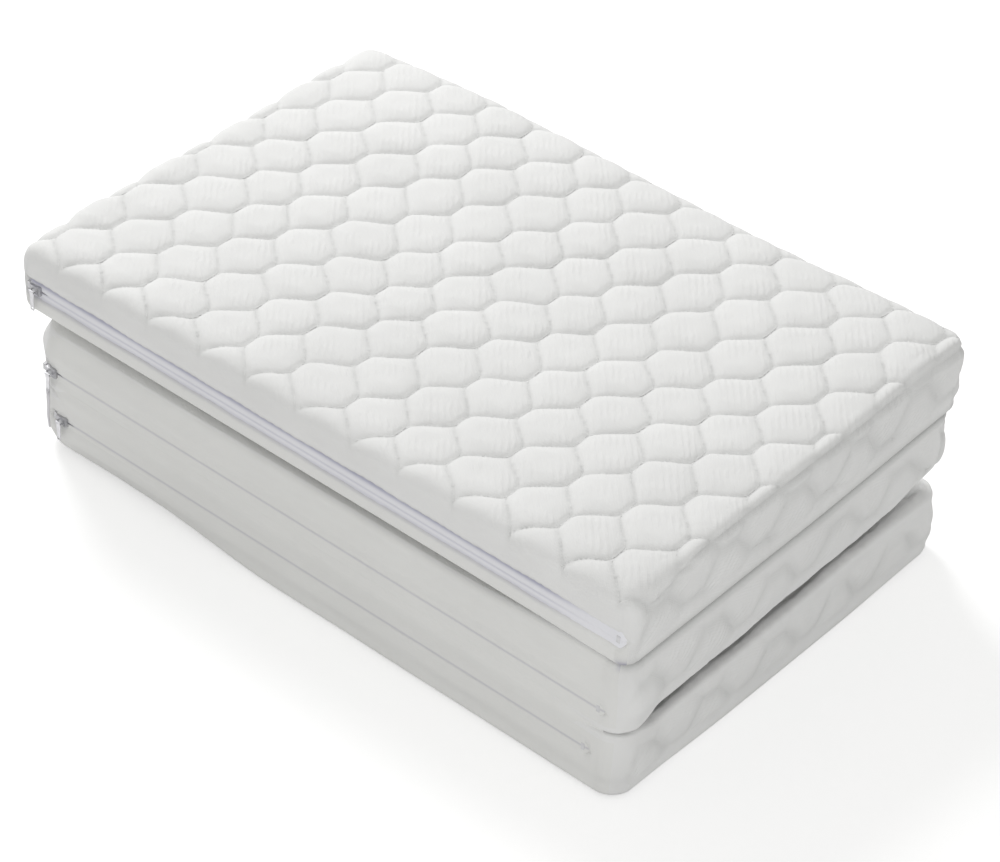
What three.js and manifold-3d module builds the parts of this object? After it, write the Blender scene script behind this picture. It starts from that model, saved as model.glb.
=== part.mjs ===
// Folding cot mattress: three foam panels in quilted covers, folded into a stack.
// Millimetres, +Z up. X runs along the folds, -Y is the zipped front of the stack.
// The origin is the centre of the lowest panel's underside.

import * as THREE from 'three';
import Module from 'manifold-3d';

const wasm = await Module();
wasm.setup();

// Panels: each is a foam slab in its own cover
const panelLength = 600;
const panelWidth = 400;
const panelThickness = 60;
const cornerRadius = 16;
const coverWall = 2.4;
const seatGap = 0.3;

// Side walls: rounded under, slightly crowned, drawn in at the top seam
const sideCrown = 0.6;
const baseEdgeInset = 12;
const baseEdgeRise = 10;
const baseRimHeight = 9;
const shoulderDrop = 7;
const seamDraw = 1.6;

// Quilting: hexagons between wavy rows of stitches, on a sheet that rises from the seam
const quiltRise = 7;
const cellWidth = 50;
const cellStraight = 16.4;
const cellSlope = 22;
const cellPuff = 3.6;
const quiltMargin = 8;
const marginDrop = 0.8;
const quiltOffsetX = 13;
const quiltOffsetY = 24.8;
const cellTopShare = 0.56;
const smallCellShare = 0.3;

// Foam slab, chamfered to lie in the rounded cover
const foamBaseChamfer = 10;
const foamTopChamfer = 3;

// Zips: two tapes, a coil, a slider with a bail and a swinging pull
const lowerZipDrop = 17;
const middleZipDrop = 11;
const upperZipRise = 22;
const lowerZipEndInset = 35;
const middleZipEndInset = 25;
const upperZipEndInset = 13;
const upperOpening = 14;
const tapeThickness = 0.8;
const tapeHeight = 11;
const tapeParting = 1.2;
const tapeTail = 2;
const coilThickness = 2.1;
const coilHeight = 5;
const coilRidge = 0.7;
const stopLength = 3;
const stopOverhang = 0.5;
const stopSpacing = 2.4;
const sliderNose = 1.9;
const sliderFlange = 1.5;
const sliderTailFlange = 0.6;
const sliderClear = 0.4;
const sliderPlate = 2.2;
const sliderBevel = 0.6;
const bailRise = 3;
const parkClear = 1.5;
const bailRadius = 0.45;
const eyeWall = 0.4;
const eyeLength = 5;
const eyeClear = 0.2;
const pullLength = 17;
const pullThickness = 0.7;
const pullWall = 0.5;
const slotHeight = 1.8;
const slotWall = 1.2;
const ribbonWidth = 2.2;
const ribbonThickness = 0.35;
const ribbonLength = 34;
const ribbonTaper = 2;

// Folds: panels turn about the edge of their facing sides
const faceGap = 0.6;
const foldClear = 0.45;
const beadRadius = 0.4;
const webThickness = 0.8;
const webInset = 0.15;
const webReturn = 0.7;
const webOverlap = 5;
const webEndInset = 36;
const frontOpenAngle = 2.2;
const backOpenAngle = 1.2;

const cornerSteps = 4;
const edgeSteps = 3;
const roundSteps = 10;
const overrun = 1;

const seamHeight = panelThickness - quiltRise;
const wallLength = panelLength - 2 * cornerRadius;
const bailSpan = eyeLength + 4 * bailRadius + 2 * eyeClear;
const sliderLength = bailSpan + 2 * sliderNose;
const sliderWidth = coilHeight + 2 * (seatGap + sliderFlange);
const sliderTail = coilHeight + 2 * (seatGap + sliderTailFlange);
const narrowOpening = sliderWidth + 2 * sliderClear;
const slotWidth = ribbonWidth + 2 * seatGap;
const pullTipWidth = slotWidth + 2 * pullWall;

// Depths behind a side wall's outermost face
const tapeDepth = seamDraw + coverWall + seatGap;
const foamInset = tapeDepth + tapeThickness + seatGap;
const coilFront = tapeDepth - seatGap - coilThickness;
const plateBack = coilFront - seatGap;
const plateFront = plateBack - sliderPlate;
const bailDepth = plateFront - bailRise;
const eyeRadius = bailRadius + seatGap + eyeWall;
const foldGap = (eyeRadius - bailDepth + foldClear) / 2;
const foldReach = panelWidth / 2 + foldGap;

const colours = {
  quilt: new THREE.MeshStandardMaterial({ color: 0xf1f1ef, roughness: 0.95, metalness: 0 }),
  plain: new THREE.MeshStandardMaterial({ color: 0xdfe0dc, roughness: 0.9, metalness: 0 }),
  foam: new THREE.MeshStandardMaterial({ color: 0xf2ead2, roughness: 1, metalness: 0 }),
  tape: new THREE.MeshStandardMaterial({ color: 0xd9d7e2, roughness: 0.85, metalness: 0 }),
  coil: new THREE.MeshStandardMaterial({ color: 0xe9e9ee, roughness: 0.45, metalness: 0 }),
  metal: new THREE.MeshStandardMaterial({ color: 0x5c5e60, roughness: 0.4, metalness: 0.8 }),
  pull: new THREE.MeshStandardMaterial({ color: 0xbfc0c6, roughness: 0.4, metalness: 0.6 }),
};

// A closed mesh as a solid, its shared corners joined
function toSolid(geometry) {
  const position = geometry.getAttribute('position');
  const index = geometry.getIndex();
  const count = index ? index.count : position.count;
  const seen = new Map();
  const corners = [];
  const triangles = [];
  for (let i = 0; i < count; i++) {
    const v = index ? index.getX(i) : i;
    const point = [position.getX(v), position.getY(v), position.getZ(v)];
    const key = point.map((value) => Math.round(value * 1e4)).join();
    if (!seen.has(key)) {
      seen.set(key, seen.size);
      corners.push(...point);
    }
    triangles.push(seen.get(key));
  }
  return new wasm.Manifold(new wasm.Mesh({
    numProp: 3,
    vertProperties: new Float32Array(corners),
    triVerts: new Uint32Array(triangles),
  }));
}

function toGeometry(solid) {
  const mesh = solid.getMesh();
  const geometry = new THREE.BufferGeometry();
  geometry.setAttribute('position', new THREE.BufferAttribute(mesh.vertProperties, 3));
  geometry.setIndex(new THREE.BufferAttribute(mesh.triVerts, 1));
  return geometry;
}

// The box between two corners
function block(low, high) {
  const size = high.map((value, axis) => value - low[axis]);
  const geometry = new THREE.BoxGeometry(...size);
  geometry.translate(...low.map((value, axis) => value + size[axis] / 2));
  return toSolid(geometry);
}

// A closed outline of [y, z] points, run along X about a centre
function alongLength(outline, length, centre = 0) {
  const shape = new THREE.Shape(outline.map(([y, z]) => new THREE.Vector2(y, z)));
  const geometry = new THREE.ExtrudeGeometry(shape, { depth: length, bevelEnabled: false, steps: 1 });
  geometry.applyMatrix4(new THREE.Matrix4().makeBasis(
    new THREE.Vector3(0, 1, 0),
    new THREE.Vector3(0, 0, 1),
    new THREE.Vector3(1, 0, 0),
  ));
  geometry.translate(centre - length / 2, 0, 0);
  return toSolid(geometry);
}

// A round bar along X
function bar(radius, length, centre) {
  const geometry = new THREE.CylinderGeometry(radius, radius, length, roundSteps);
  geometry.rotateZ(Math.PI / 2);
  geometry.translate(...centre);
  return toSolid(geometry);
}

// The panel's rounded outline, drawn in by an inset
function outlineRing(inset) {
  const radius = cornerRadius - inset;
  const reachX = panelLength / 2 - cornerRadius;
  const reachY = panelWidth / 2 - cornerRadius;
  const ring = [];
  const quarters = [[1, 1], [-1, 1], [-1, -1], [1, -1]];
  quarters.forEach(([signX, signY], quarter) => {
    for (let i = 0; i <= cornerSteps; i++) {
      const angle = (quarter + i / cornerSteps) * Math.PI / 2;
      ring.push([
        signX * reachX + radius * Math.cos(angle),
        signY * reachY + radius * Math.sin(angle),
      ]);
    }
  });
  return ring;
}

// A closed skin through a stack of rings, each [inset, height]
function stackRings(profile) {
  const positions = [];
  const triangles = [];
  const rings = profile.map(([inset, height]) => outlineRing(inset).map(([x, y]) => [x, y, height]));
  const size = rings[0].length;
  rings.forEach((ring) => ring.forEach((point) => positions.push(...point)));
  for (let level = 0; level + 1 < rings.length; level++) {
    for (let i = 0; i < size; i++) {
      const here = level * size + i;
      const next = level * size + (i + 1) % size;
      triangles.push(here, next, next + size, here, next + size, here + size);
    }
  }
  const lastRing = (rings.length - 1) * size;
  for (let i = 1; i + 1 < size; i++) {
    triangles.push(0, i + 1, i);
    triangles.push(lastRing, lastRing + i, lastRing + i + 1);
  }
  const geometry = new THREE.BufferGeometry();
  geometry.setAttribute('position', new THREE.Float32BufferAttribute(positions, 3));
  geometry.setIndex(triangles);
  return toSolid(geometry);
}

// The side's shape, from the underside's edge to the seam, for a skin this far inside
function sideProfile(inside) {
  const profile = [];
  for (let i = 0; i <= edgeSteps; i++) {
    const turn = (i / edgeSteps) * Math.PI / 2;
    profile.push([
      inside + baseEdgeInset - (baseEdgeInset - sideCrown) * Math.sin(turn),
      inside + (baseEdgeRise - inside) * (1 - Math.cos(turn)),
    ]);
  }
  profile.push([inside, panelThickness / 2]);
  profile.push([inside + sideCrown, seamHeight - shoulderDrop]);
  profile.push([inside + seamDraw, seamHeight]);
  return profile;
}

const coverShell = stackRings(sideProfile(0)).subtract(
  stackRings([...sideProfile(coverWall), [coverWall + seamDraw, seamHeight + overrun]]),
);

function foamCore() {
  const low = coverWall + seatGap;
  return stackRings([
    [foamInset + foamBaseChamfer, low],
    [foamInset, low + foamBaseChamfer],
    [foamInset, seamHeight - foamTopChamfer],
    [foamInset + foamTopChamfer, seamHeight],
  ]);
}

// A polygon cut to the inside of a convex one, both counter-clockwise
function clipPolygon(polygon, boundary) {
  let inside = polygon;
  boundary.forEach(([ax, ay], i) => {
    const [bx, by] = boundary[(i + 1) % boundary.length];
    const side = ([x, y]) => (bx - ax) * (y - ay) - (by - ay) * (x - ax);
    const kept = [];
    inside.forEach((point, k) => {
      const next = inside[(k + 1) % inside.length];
      const here = side(point);
      const there = side(next);
      if (here >= 0) kept.push(point);
      if ((here > 0 && there < 0) || (here < 0 && there > 0)) {
        const share = here / (here - there);
        kept.push([point[0] + share * (next[0] - point[0]), point[1] + share * (next[1] - point[1])]);
      }
    });
    inside = kept;
  });
  return inside;
}

function polygonArea(polygon) {
  return polygon.reduce((sum, [x, y], i) => {
    const [nextX, nextY] = polygon[(i + 1) % polygon.length];
    return sum + (x * nextY - nextX * y) / 2;
  }, 0);
}

function polygonCentre(polygon) {
  const sum = polygon.reduce(([x, y], point) => [x + point[0], y + point[1]], [0, 0]);
  return sum.map((value) => value / polygon.length);
}

// Every quilted cell that lies within the quilting's outline
function quiltCells(outline) {
  const rowPitch = cellStraight + cellSlope;
  const half = cellWidth / 2;
  const straight = cellStraight / 2;
  const tip = straight + cellSlope;
  const rows = Math.ceil(panelWidth / rowPitch);
  const columns = Math.ceil(panelLength / cellWidth);
  const cells = [];
  for (let row = -rows; row <= rows; row++) {
    for (let column = -columns; column <= columns; column++) {
      const x = quiltOffsetX + (column + (row % 2 === 0 ? 0 : 1 / 2)) * cellWidth;
      const y = quiltOffsetY + row * rowPitch;
      const hexagon = [
        [x + half, y - straight], [x + half, y + straight], [x, y + tip],
        [x - half, y + straight], [x - half, y - straight], [x, y - tip],
      ];
      const cell = clipPolygon(hexagon, outline);
      if (cell.length > 2) cells.push(cell);
    }
  }
  return cells;
}

// The quilted sheet: puffed cells over stitched valleys, rolled down to the seam
function quiltedTop() {
  const seen = new Map();
  const positions = [];
  const triangles = [];
  const corner = (x, y, z) => {
    const key = [x, y, z].map((value) => Math.round(value * 1e4)).join();
    if (!seen.has(key)) {
      seen.set(key, seen.size);
      positions.push(x, y, z);
    }
    return seen.get(key);
  };
  const face = (a, b, c) => {
    if (a !== b && b !== c && c !== a) triangles.push(a, b, c);
  };
  const valley = panelThickness - cellPuff;
  const outline = outlineRing(quiltMargin);
  const reachX = panelLength / 2 - cornerRadius;
  const reachY = panelWidth / 2 - cornerRadius;
  const fullArea = cellWidth * (cellStraight + cellSlope);
  const onEdge = ([x, y]) => {
    const dx = Math.max(Math.abs(x) - reachX, 0);
    const dy = Math.max(Math.abs(y) - reachY, 0);
    return Math.hypot(dx, dy) > (cornerRadius - quiltMargin) * Math.cos(Math.PI / 4 / cornerSteps) - seatGap / 2;
  };
  const stitchHeight = (point) => (onEdge(point) ? valley - marginDrop : valley);
  quiltCells(outline).forEach((cell) => {
    const low = cell.map((point) => corner(point[0], point[1], stitchHeight(point)));
    const area = polygonArea(cell);
    if (area < smallCellShare * fullArea) {
      for (let i = 1; i + 1 < low.length; i++) face(low[0], low[i], low[i + 1]);
      return;
    }
    const centre = polygonCentre(cell);
    const top = area > fullArea * (1 - smallCellShare) ? panelThickness : panelThickness - marginDrop;
    const high = cell.map(([x, y]) => corner(
      centre[0] + (x - centre[0]) * cellTopShare,
      centre[1] + (y - centre[1]) * cellTopShare,
      top,
    ));
    low.forEach((here, i) => {
      const next = (i + 1) % low.length;
      face(here, low[next], high[next]);
      face(here, high[next], high[i]);
    });
    for (let i = 1; i + 1 < high.length; i++) face(high[0], high[i], high[i + 1]);
  });

  // The quilting's rim is the chain of edges that only one triangle uses
  const following = new Map();
  const edges = new Set();
  for (let i = 0; i < triangles.length; i += 3) {
    for (let k = 0; k < 3; k++) edges.add(`${triangles[i + k]},${triangles[i + (k + 1) % 3]}`);
  }
  edges.forEach((edge) => {
    const [from, to] = edge.split(',').map(Number);
    if (!edges.has(`${to},${from}`)) following.set(from, to);
  });
  const start = following.keys().next().value;
  const rim = [start];
  while (following.get(rim[rim.length - 1]) !== start) rim.push(following.get(rim[rim.length - 1]));

  const seamLevel = seamHeight + seatGap;
  const outward = quiltMargin - seamDraw;
  const seam = rim.map((v) => {
    const x = positions[3 * v];
    const y = positions[3 * v + 1];
    const dx = Math.sign(x) * Math.max(Math.abs(x) - reachX, 0);
    const dy = Math.sign(y) * Math.max(Math.abs(y) - reachY, 0);
    const reach = Math.hypot(dx, dy);
    return corner(x + dx / reach * outward, y + dy / reach * outward, seamLevel);
  });
  const middle = corner(0, 0, seamLevel);
  rim.forEach((here, i) => {
    const next = (i + 1) % rim.length;
    face(here, seam[i], seam[next]);
    face(here, seam[next], rim[next]);
    face(middle, seam[next], seam[i]);
  });

  const geometry = new THREE.BufferGeometry();
  geometry.setAttribute('position', new THREE.Float32BufferAttribute(positions, 3));
  geometry.setIndex(triangles);
  return toSolid(geometry);
}

// Heights of a zip's opening in the wall
function zipEdges(panel) {
  return [panel.zipHeight - panel.zipOpening / 2, panel.zipHeight + panel.zipOpening / 2];
}

// A block that stands across one long side, between two heights
function sideBlock(side, low, high, length) {
  const near = panelWidth / 2 - cornerRadius;
  const far = panelWidth / 2 + overrun;
  const [y0, y1] = side > 0 ? [near, far] : [-far, -near];
  return block([-length / 2, y0, low], [length / 2, y1, high]);
}

// The opening that the zip closes, with room for its stops
function zipOpening(panel) {
  const [low, high] = zipEdges(panel);
  return sideBlock(panel.zipSide, low, high, panel.zipLength + 2 * (stopLength + stopSpacing));
}

// The plain sheet under the foam, with its rim and the wall below the zip
function baseCover(panel) {
  const rim = block(
    [-panelLength, -panelWidth, -overrun],
    [panelLength, panelWidth, baseRimHeight],
  );
  const wallLow = sideBlock(panel.zipSide, 0, zipEdges(panel)[0], wallLength - 2 * seatGap);
  return coverShell.intersect(rim.add(wallLow));
}

// A web of cloth from a wall to the fold's axis, at the quilted side or under the panel
function foldWeb(panel, side, atQuilt, bead) {
  const axis = atQuilt ? panelThickness + faceGap / 2 : -faceGap / 2;
  const inward = atQuilt ? -1 : 1;
  const wallEnd = atQuilt ? (zipEdges(panel)[1] + seamHeight) / 2 : baseEdgeRise + webOverlap;
  const end = bead ? axis : axis + inward * webReturn;
  const outer = foldGap - webInset;
  const y = (out) => side * (panelWidth / 2 + out);
  const turn = axis + inward * 2 * webThickness;
  const outline = [
    [y(-sideCrown), wallEnd],
    [y(outer), turn],
    [y(outer), end],
    [y(outer - webThickness), end],
    [y(outer - webThickness), turn],
    [y(-sideCrown - webThickness), wallEnd + inward * webThickness],
  ];
  const length = panelLength - 2 * webEndInset;
  const web = alongLength(outline, length);
  return bead ? web.add(bar(beadRadius, length, [0, side * foldReach, axis])) : web;
}

// The wall above the zip, which is half of the fold's band where the panel folds there
function zipBand(panel) {
  const wall = coverShell.intersect(
    sideBlock(panel.zipSide, zipEdges(panel)[0] + seatGap, panelThickness, wallLength - 2 * seatGap),
  ).subtract(zipOpening(panel));
  return panel.quiltFold ? wall.add(foldWeb(panel, panel.zipSide, true, panel.quiltFold === 'bead')) : wall;
}

// The long wall away from the zip
function backBorder(panel) {
  const wall = coverShell.intersect(
    sideBlock(-panel.zipSide, baseRimHeight + seatGap, panelThickness, wallLength - 2 * seatGap),
  );
  return panel.baseFold ? wall.add(foldWeb(panel, -panel.zipSide, false, panel.baseFold === 'bead')) : wall;
}

// An end wall, carried round both corners and notched for the zip's end
function endBorder(panel, end) {
  const inner = wallLength / 2;
  const outer = panelLength / 2 + overrun;
  const low = baseRimHeight + seatGap;
  const box = block(
    [end > 0 ? inner : -outer, -panelWidth, low],
    [end > 0 ? outer : -inner, panelWidth, panelThickness],
  );
  return coverShell.intersect(box).subtract(zipOpening(panel));
}

// A prism along X between two depths behind the zipped wall and two heights about the zip
function zipStrip(panel, depths, heights, length, centre = 0) {
  const ys = depths.map((depth) => panel.zipSide * (panelWidth / 2 - depth));
  const zs = heights.map((height) => panel.zipHeight + height);
  return block(
    [centre - length / 2, Math.min(...ys), zs[0]],
    [centre + length / 2, Math.max(...ys), zs[1]],
  );
}

function zipTape(panel, towardQuilt) {
  const lowest = baseEdgeRise + coverWall - panel.zipHeight;
  const highest = seamHeight - panel.zipHeight;
  const heights = towardQuilt
    ? [tapeParting, Math.min(tapeParting + tapeHeight, highest)]
    : [Math.max(-tapeParting - tapeHeight, lowest), -tapeParting];
  return zipStrip(panel, [tapeDepth, tapeDepth + tapeThickness], heights, panel.zipLength + 2 * tapeTail);
}

// The closed coil, with bevelled flanks and a ridge where its two halves mesh
function zipCoil(panel) {
  const y = (depth) => panel.zipSide * (panelWidth / 2 - depth);
  const half = coilHeight / 2;
  const z = (height) => panel.zipHeight + height;
  const back = coilFront + coilThickness;
  const outline = [
    [y(back), z(-half)],
    [y(coilFront + coilRidge), z(-half)],
    [y(coilFront), z(-half + coilRidge)],
    [y(coilFront), z(-coilRidge)],
    [y(coilFront + coilRidge / 2), z(0)],
    [y(coilFront), z(coilRidge)],
    [y(coilFront), z(half - coilRidge)],
    [y(coilFront + coilRidge), z(half)],
    [y(back), z(half)],
  ];
  return alongLength(outline, panel.zipLength);
}

function zipStop(panel, end) {
  const centre = end * (panel.zipLength + stopLength + 2 * seatGap) / 2;
  const half = coilHeight / 2 + stopOverhang;
  return zipStrip(panel, [coilFront - stopOverhang, coilFront + coilThickness], [-half, half], stopLength, centre);
}

// The slider: a saddle over the coil, waisted at its tail, with a bail on its back
function zipSlider(panel, centre) {
  const side = panel.zipSide;
  const half = sliderLength / 2;
  const shoulder = sliderWidth / 2;
  const tail = sliderTail / 2;
  const plan = new THREE.Shape([
    new THREE.Vector2(-half, -tail),
    new THREE.Vector2(0, -tail),
    new THREE.Vector2(half - shoulder / 2, -shoulder),
    new THREE.Vector2(half, -shoulder + sliderBevel),
    new THREE.Vector2(half, shoulder - sliderBevel),
    new THREE.Vector2(half - shoulder / 2, shoulder),
    new THREE.Vector2(0, tail),
    new THREE.Vector2(-half, tail),
  ]);
  const depth = tapeDepth - seatGap - plateFront;
  const geometry = new THREE.ExtrudeGeometry(plan, { depth, bevelEnabled: false, steps: 1 });
  geometry.rotateX(Math.PI / 2);
  const plateY = side > 0 ? panelWidth / 2 - plateFront : -panelWidth / 2 + plateFront + depth;
  geometry.translate(centre, plateY, panel.zipHeight);
  const channel = zipStrip(
    panel,
    [plateBack, tapeDepth + overrun],
    [-coilHeight / 2 - seatGap, coilHeight / 2 + seatGap],
    sliderLength + 2 * overrun,
    centre,
  );
  const barY = side * (panelWidth / 2 - bailDepth);
  const leg = (end) => zipStrip(
    panel,
    [bailDepth - bailRadius, plateFront + sliderBevel],
    [-bailRadius, bailRadius],
    2 * bailRadius,
    centre + end * (bailSpan / 2 - bailRadius),
  );
  const bail = bar(bailRadius, bailSpan - bailRadius, [centre, barY, panel.zipHeight]);
  return toSolid(geometry).subtract(channel).add(leg(-1)).add(leg(1)).add(bail);
}

// The pull, hanging along -Z from an eye on the bail, which is at the origin
function zipPull() {
  const room = bar(bailRadius + seatGap, eyeLength + 2 * overrun, [0, 0, 0]);
  const eye = bar(eyeRadius, eyeLength, [0, 0, 0]);
  const top = eyeLength / 2;
  const tip = pullTipWidth / 2;
  const bevel = pullWall;
  const outline = new THREE.Shape([
    new THREE.Vector2(-top, 0),
    new THREE.Vector2(-tip, -pullLength / 2),
    new THREE.Vector2(-tip, -pullLength + bevel),
    new THREE.Vector2(-tip + bevel, -pullLength),
    new THREE.Vector2(tip - bevel, -pullLength),
    new THREE.Vector2(tip, -pullLength + bevel),
    new THREE.Vector2(tip, -pullLength / 2),
    new THREE.Vector2(top, 0),
  ]);
  const geometry = new THREE.ExtrudeGeometry(outline, {
    depth: pullThickness,
    bevelEnabled: false,
    steps: 1,
  });
  geometry.translate(0, 0, -pullThickness / 2);
  geometry.rotateX(Math.PI / 2);
  const slotLow = -pullLength + slotWall;
  const slot = block(
    [-slotWidth / 2, -eyeRadius, slotLow],
    [slotWidth / 2, eyeRadius, slotLow + slotHeight],
  );
  return eye.add(toSolid(geometry)).subtract(room).subtract(slot);
}

// A ribbon looped through the pull's slot, its two layers sewn together below it
function pullRibbon() {
  const inner = pullThickness / 2 + seatGap;
  const outer = inner + ribbonThickness;
  const top = -pullLength + slotWall + seatGap;
  const low = -pullLength - seatGap;
  const end = low - ribbonLength;
  const strip = alongLength([
    [-outer, top],
    [-outer, low],
    [-ribbonThickness, low - ribbonTaper],
    [-ribbonThickness, end],
    [ribbonThickness, end],
    [ribbonThickness, low - ribbonTaper],
    [outer, low],
    [outer, top],
    [inner, top + ribbonThickness],
    [-inner, top + ribbonThickness],
  ], ribbonWidth);
  return strip.subtract(block([-ribbonWidth, -inner, low], [ribbonWidth, inner, top]));
}

function addPiece(parent, name, solid, material) {
  const mesh = new THREE.Mesh(toGeometry(solid), material);
  mesh.name = name;
  parent.add(mesh);
  return mesh;
}

const quiltSolid = quiltedTop();
const foamSolid = foamCore();

// One panel in its cover, lying with its quilted side up
function buildPanel(panel) {
  const group = new THREE.Group();
  const add = (name, solid, material) => addPiece(group, `${panel.name}_${name}`, solid, material);
  add('foam_core', foamSolid, colours.foam);
  add('quilted_top', quiltSolid, colours.quilt);
  add('base_cover', baseCover(panel), colours.plain);
  add('zip_band', zipBand(panel), panel.quiltFold ? colours.plain : colours.quilt);
  add('back_border', backBorder(panel), colours.quilt);
  add('left_border', endBorder(panel, -1), colours.quilt);
  add('right_border', endBorder(panel, 1), colours.quilt);
  add('zip_tape_quilt_side', zipTape(panel, true), colours.tape);
  add('zip_tape_base_side', zipTape(panel, false), colours.tape);
  add('zip_coil', zipCoil(panel), colours.coil);
  add('zip_stop_left', zipStop(panel, -1), colours.metal);
  add('zip_stop_right', zipStop(panel, 1), colours.metal);
  const park = -panel.zipLength / 2 + sliderLength / 2 + parkClear;
  add('zip_slider', zipSlider(panel, park), colours.metal);
  const hanging = [add('zip_pull', zipPull(), colours.pull)];
  if (panel.ribbon) hanging.push(add('pull_ribbon', pullRibbon(), colours.tape));
  hanging.forEach((piece) => {
    piece.position.set(park, panel.zipSide * (panelWidth / 2 - bailDepth), panel.zipHeight);
    piece.rotation.x = panel.pullTurn;
  });
  return group;
}

const frontTurn = THREE.MathUtils.degToRad(frontOpenAngle);
const backTurn = -THREE.MathUtils.degToRad(backOpenAngle);

const lowerPanel = buildPanel({
  name: 'lower',
  zipSide: -1,
  zipHeight: seamHeight - lowerZipDrop,
  zipOpening: narrowOpening,
  zipLength: panelLength - 2 * lowerZipEndInset,
  pullTurn: 0,
  quiltFold: 'bead',
});

const middlePanel = buildPanel({
  name: 'middle',
  zipSide: 1,
  zipHeight: seamHeight - middleZipDrop,
  zipOpening: narrowOpening,
  zipLength: panelLength - 2 * middleZipEndInset,
  ribbon: true,
  pullTurn: Math.PI - frontTurn,
  quiltFold: 'web',
  baseFold: 'bead',
});

const upperPanel = buildPanel({
  name: 'upper',
  zipSide: -1,
  zipHeight: upperZipRise,
  zipOpening: upperOpening,
  zipLength: panelLength - 2 * upperZipEndInset,
  pullTurn: -(frontTurn + backTurn),
  baseFold: 'web',
});

// The middle panel lies quilted side down and opens over the front edge
const frontFold = new THREE.Group();
frontFold.position.set(0, -foldReach, panelThickness + faceGap / 2);
frontFold.rotation.x = frontTurn;
middlePanel.position.set(0, foldReach, panelThickness + faceGap / 2);
middlePanel.rotation.x = Math.PI;
frontFold.add(middlePanel);

// The upper panel lies quilted side up and opens over the back edge
const backFold = new THREE.Group();
backFold.position.set(0, 2 * foldReach, panelThickness + faceGap);
backFold.rotation.x = backTurn;
upperPanel.position.set(0, -foldReach, faceGap / 2);
backFold.add(upperPanel);
frontFold.add(backFold);

const mattress = new THREE.Group();
mattress.add(lowerPanel);
mattress.add(frontFold);

export default mattress;
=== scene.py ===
"""Dresses the folding cot mattress: three zipped, quilted panels stacked on two sewn folds."""

from __future__ import annotations

import logging
import math
from collections.abc import Callable
from dataclasses import dataclass, field
from enum import Enum

import bpy
import numpy as np
from mathutils import Matrix, Vector
from mathutils.kdtree import KDTree


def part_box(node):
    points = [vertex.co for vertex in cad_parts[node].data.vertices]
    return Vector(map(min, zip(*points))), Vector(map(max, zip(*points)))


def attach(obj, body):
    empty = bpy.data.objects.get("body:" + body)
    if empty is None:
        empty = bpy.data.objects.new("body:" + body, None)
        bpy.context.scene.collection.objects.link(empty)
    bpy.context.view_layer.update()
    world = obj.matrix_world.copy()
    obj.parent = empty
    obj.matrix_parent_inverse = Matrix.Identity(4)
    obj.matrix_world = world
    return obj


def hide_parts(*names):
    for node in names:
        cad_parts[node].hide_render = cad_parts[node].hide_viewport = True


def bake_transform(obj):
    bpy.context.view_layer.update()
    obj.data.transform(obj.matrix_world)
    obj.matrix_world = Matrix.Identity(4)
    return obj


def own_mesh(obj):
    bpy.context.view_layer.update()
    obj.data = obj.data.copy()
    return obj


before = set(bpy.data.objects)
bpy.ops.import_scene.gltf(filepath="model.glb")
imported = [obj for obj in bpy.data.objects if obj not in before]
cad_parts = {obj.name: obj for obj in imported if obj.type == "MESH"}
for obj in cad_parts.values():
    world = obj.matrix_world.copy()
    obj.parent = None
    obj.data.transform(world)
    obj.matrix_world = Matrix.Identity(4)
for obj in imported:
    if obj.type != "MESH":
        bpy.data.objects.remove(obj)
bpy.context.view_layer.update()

LOG = logging.getLogger("mattress")
MM = 0.001
HALF_LENGTH, HALF_WIDTH = 0.300, 0.200
# Height at which the cloth's coordinates across the walls start.
CLOTH_START = 0.257
CLOTH_SETTINGS = {
    "quality": 4,
    "mass": 0.3,
    "tension_stiffness": 25,
    "compression_stiffness": 25,
    "bending_stiffness": 6,
    "use_pressure": True,
    "uniform_pressure_force": 4.0,
}
Array = np.ndarray


class Face(Enum):
    """The long sides of a panel, as the way out of them."""

    FRONT = -1
    BACK = 1


class Row(Enum):
    """Where a quad lies that is not on the wall, as its row number."""

    TOP = -1
    BASE = 999


class Cloth(Enum):
    """The two cloths of a cover, by their place in its material slots."""

    QUILTED = 0
    PLAIN = 1


def smooth(value: Array | float, low: float, high: float) -> Array:
    """Rises smoothly from 0 at low to 1 at high, which may be below low for a fall."""
    share = np.clip((np.asarray(value, float) - low) / (high - low), 0, 1)
    return share * share * (3 - 2 * share)


def unevenness(u: Array, v: Array, size: float, seed: int, waves: int = 7) -> Array:
    """Smooth unevenness of about one, the same on every run.

    Args:
        u: First coordinate along the cloth.
        v: Second coordinate along the cloth.
        size: Rough distance between two humps.
        seed: Picks one of many such fields.
        waves: How many plain waves are added up.

    Returns:
        One value for each point.
    """
    rng = np.random.default_rng(seed)
    total = np.zeros(np.broadcast(u, v).shape)
    for _ in range(waves):
        turn, phase = rng.uniform(0, 2 * math.pi, 2)
        rate = 2 * math.pi / (size * rng.uniform(0.75, 1.6))
        total += np.sin(rate * (u * math.cos(turn) + v * math.sin(turn)) + phase)
    return total / math.sqrt(waves / 2) / 1.6


def turn_about_x(degrees: float) -> Array:
    """The 4 x 4 matrix of a turn about the long side."""
    return np.array(Matrix.Rotation(math.radians(degrees), 4, "X"))


def shift(y: float, z: float) -> Array:
    """The 4 x 4 matrix of a shift across and up."""
    return np.array(Matrix.Translation((0, y, z)))


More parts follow.
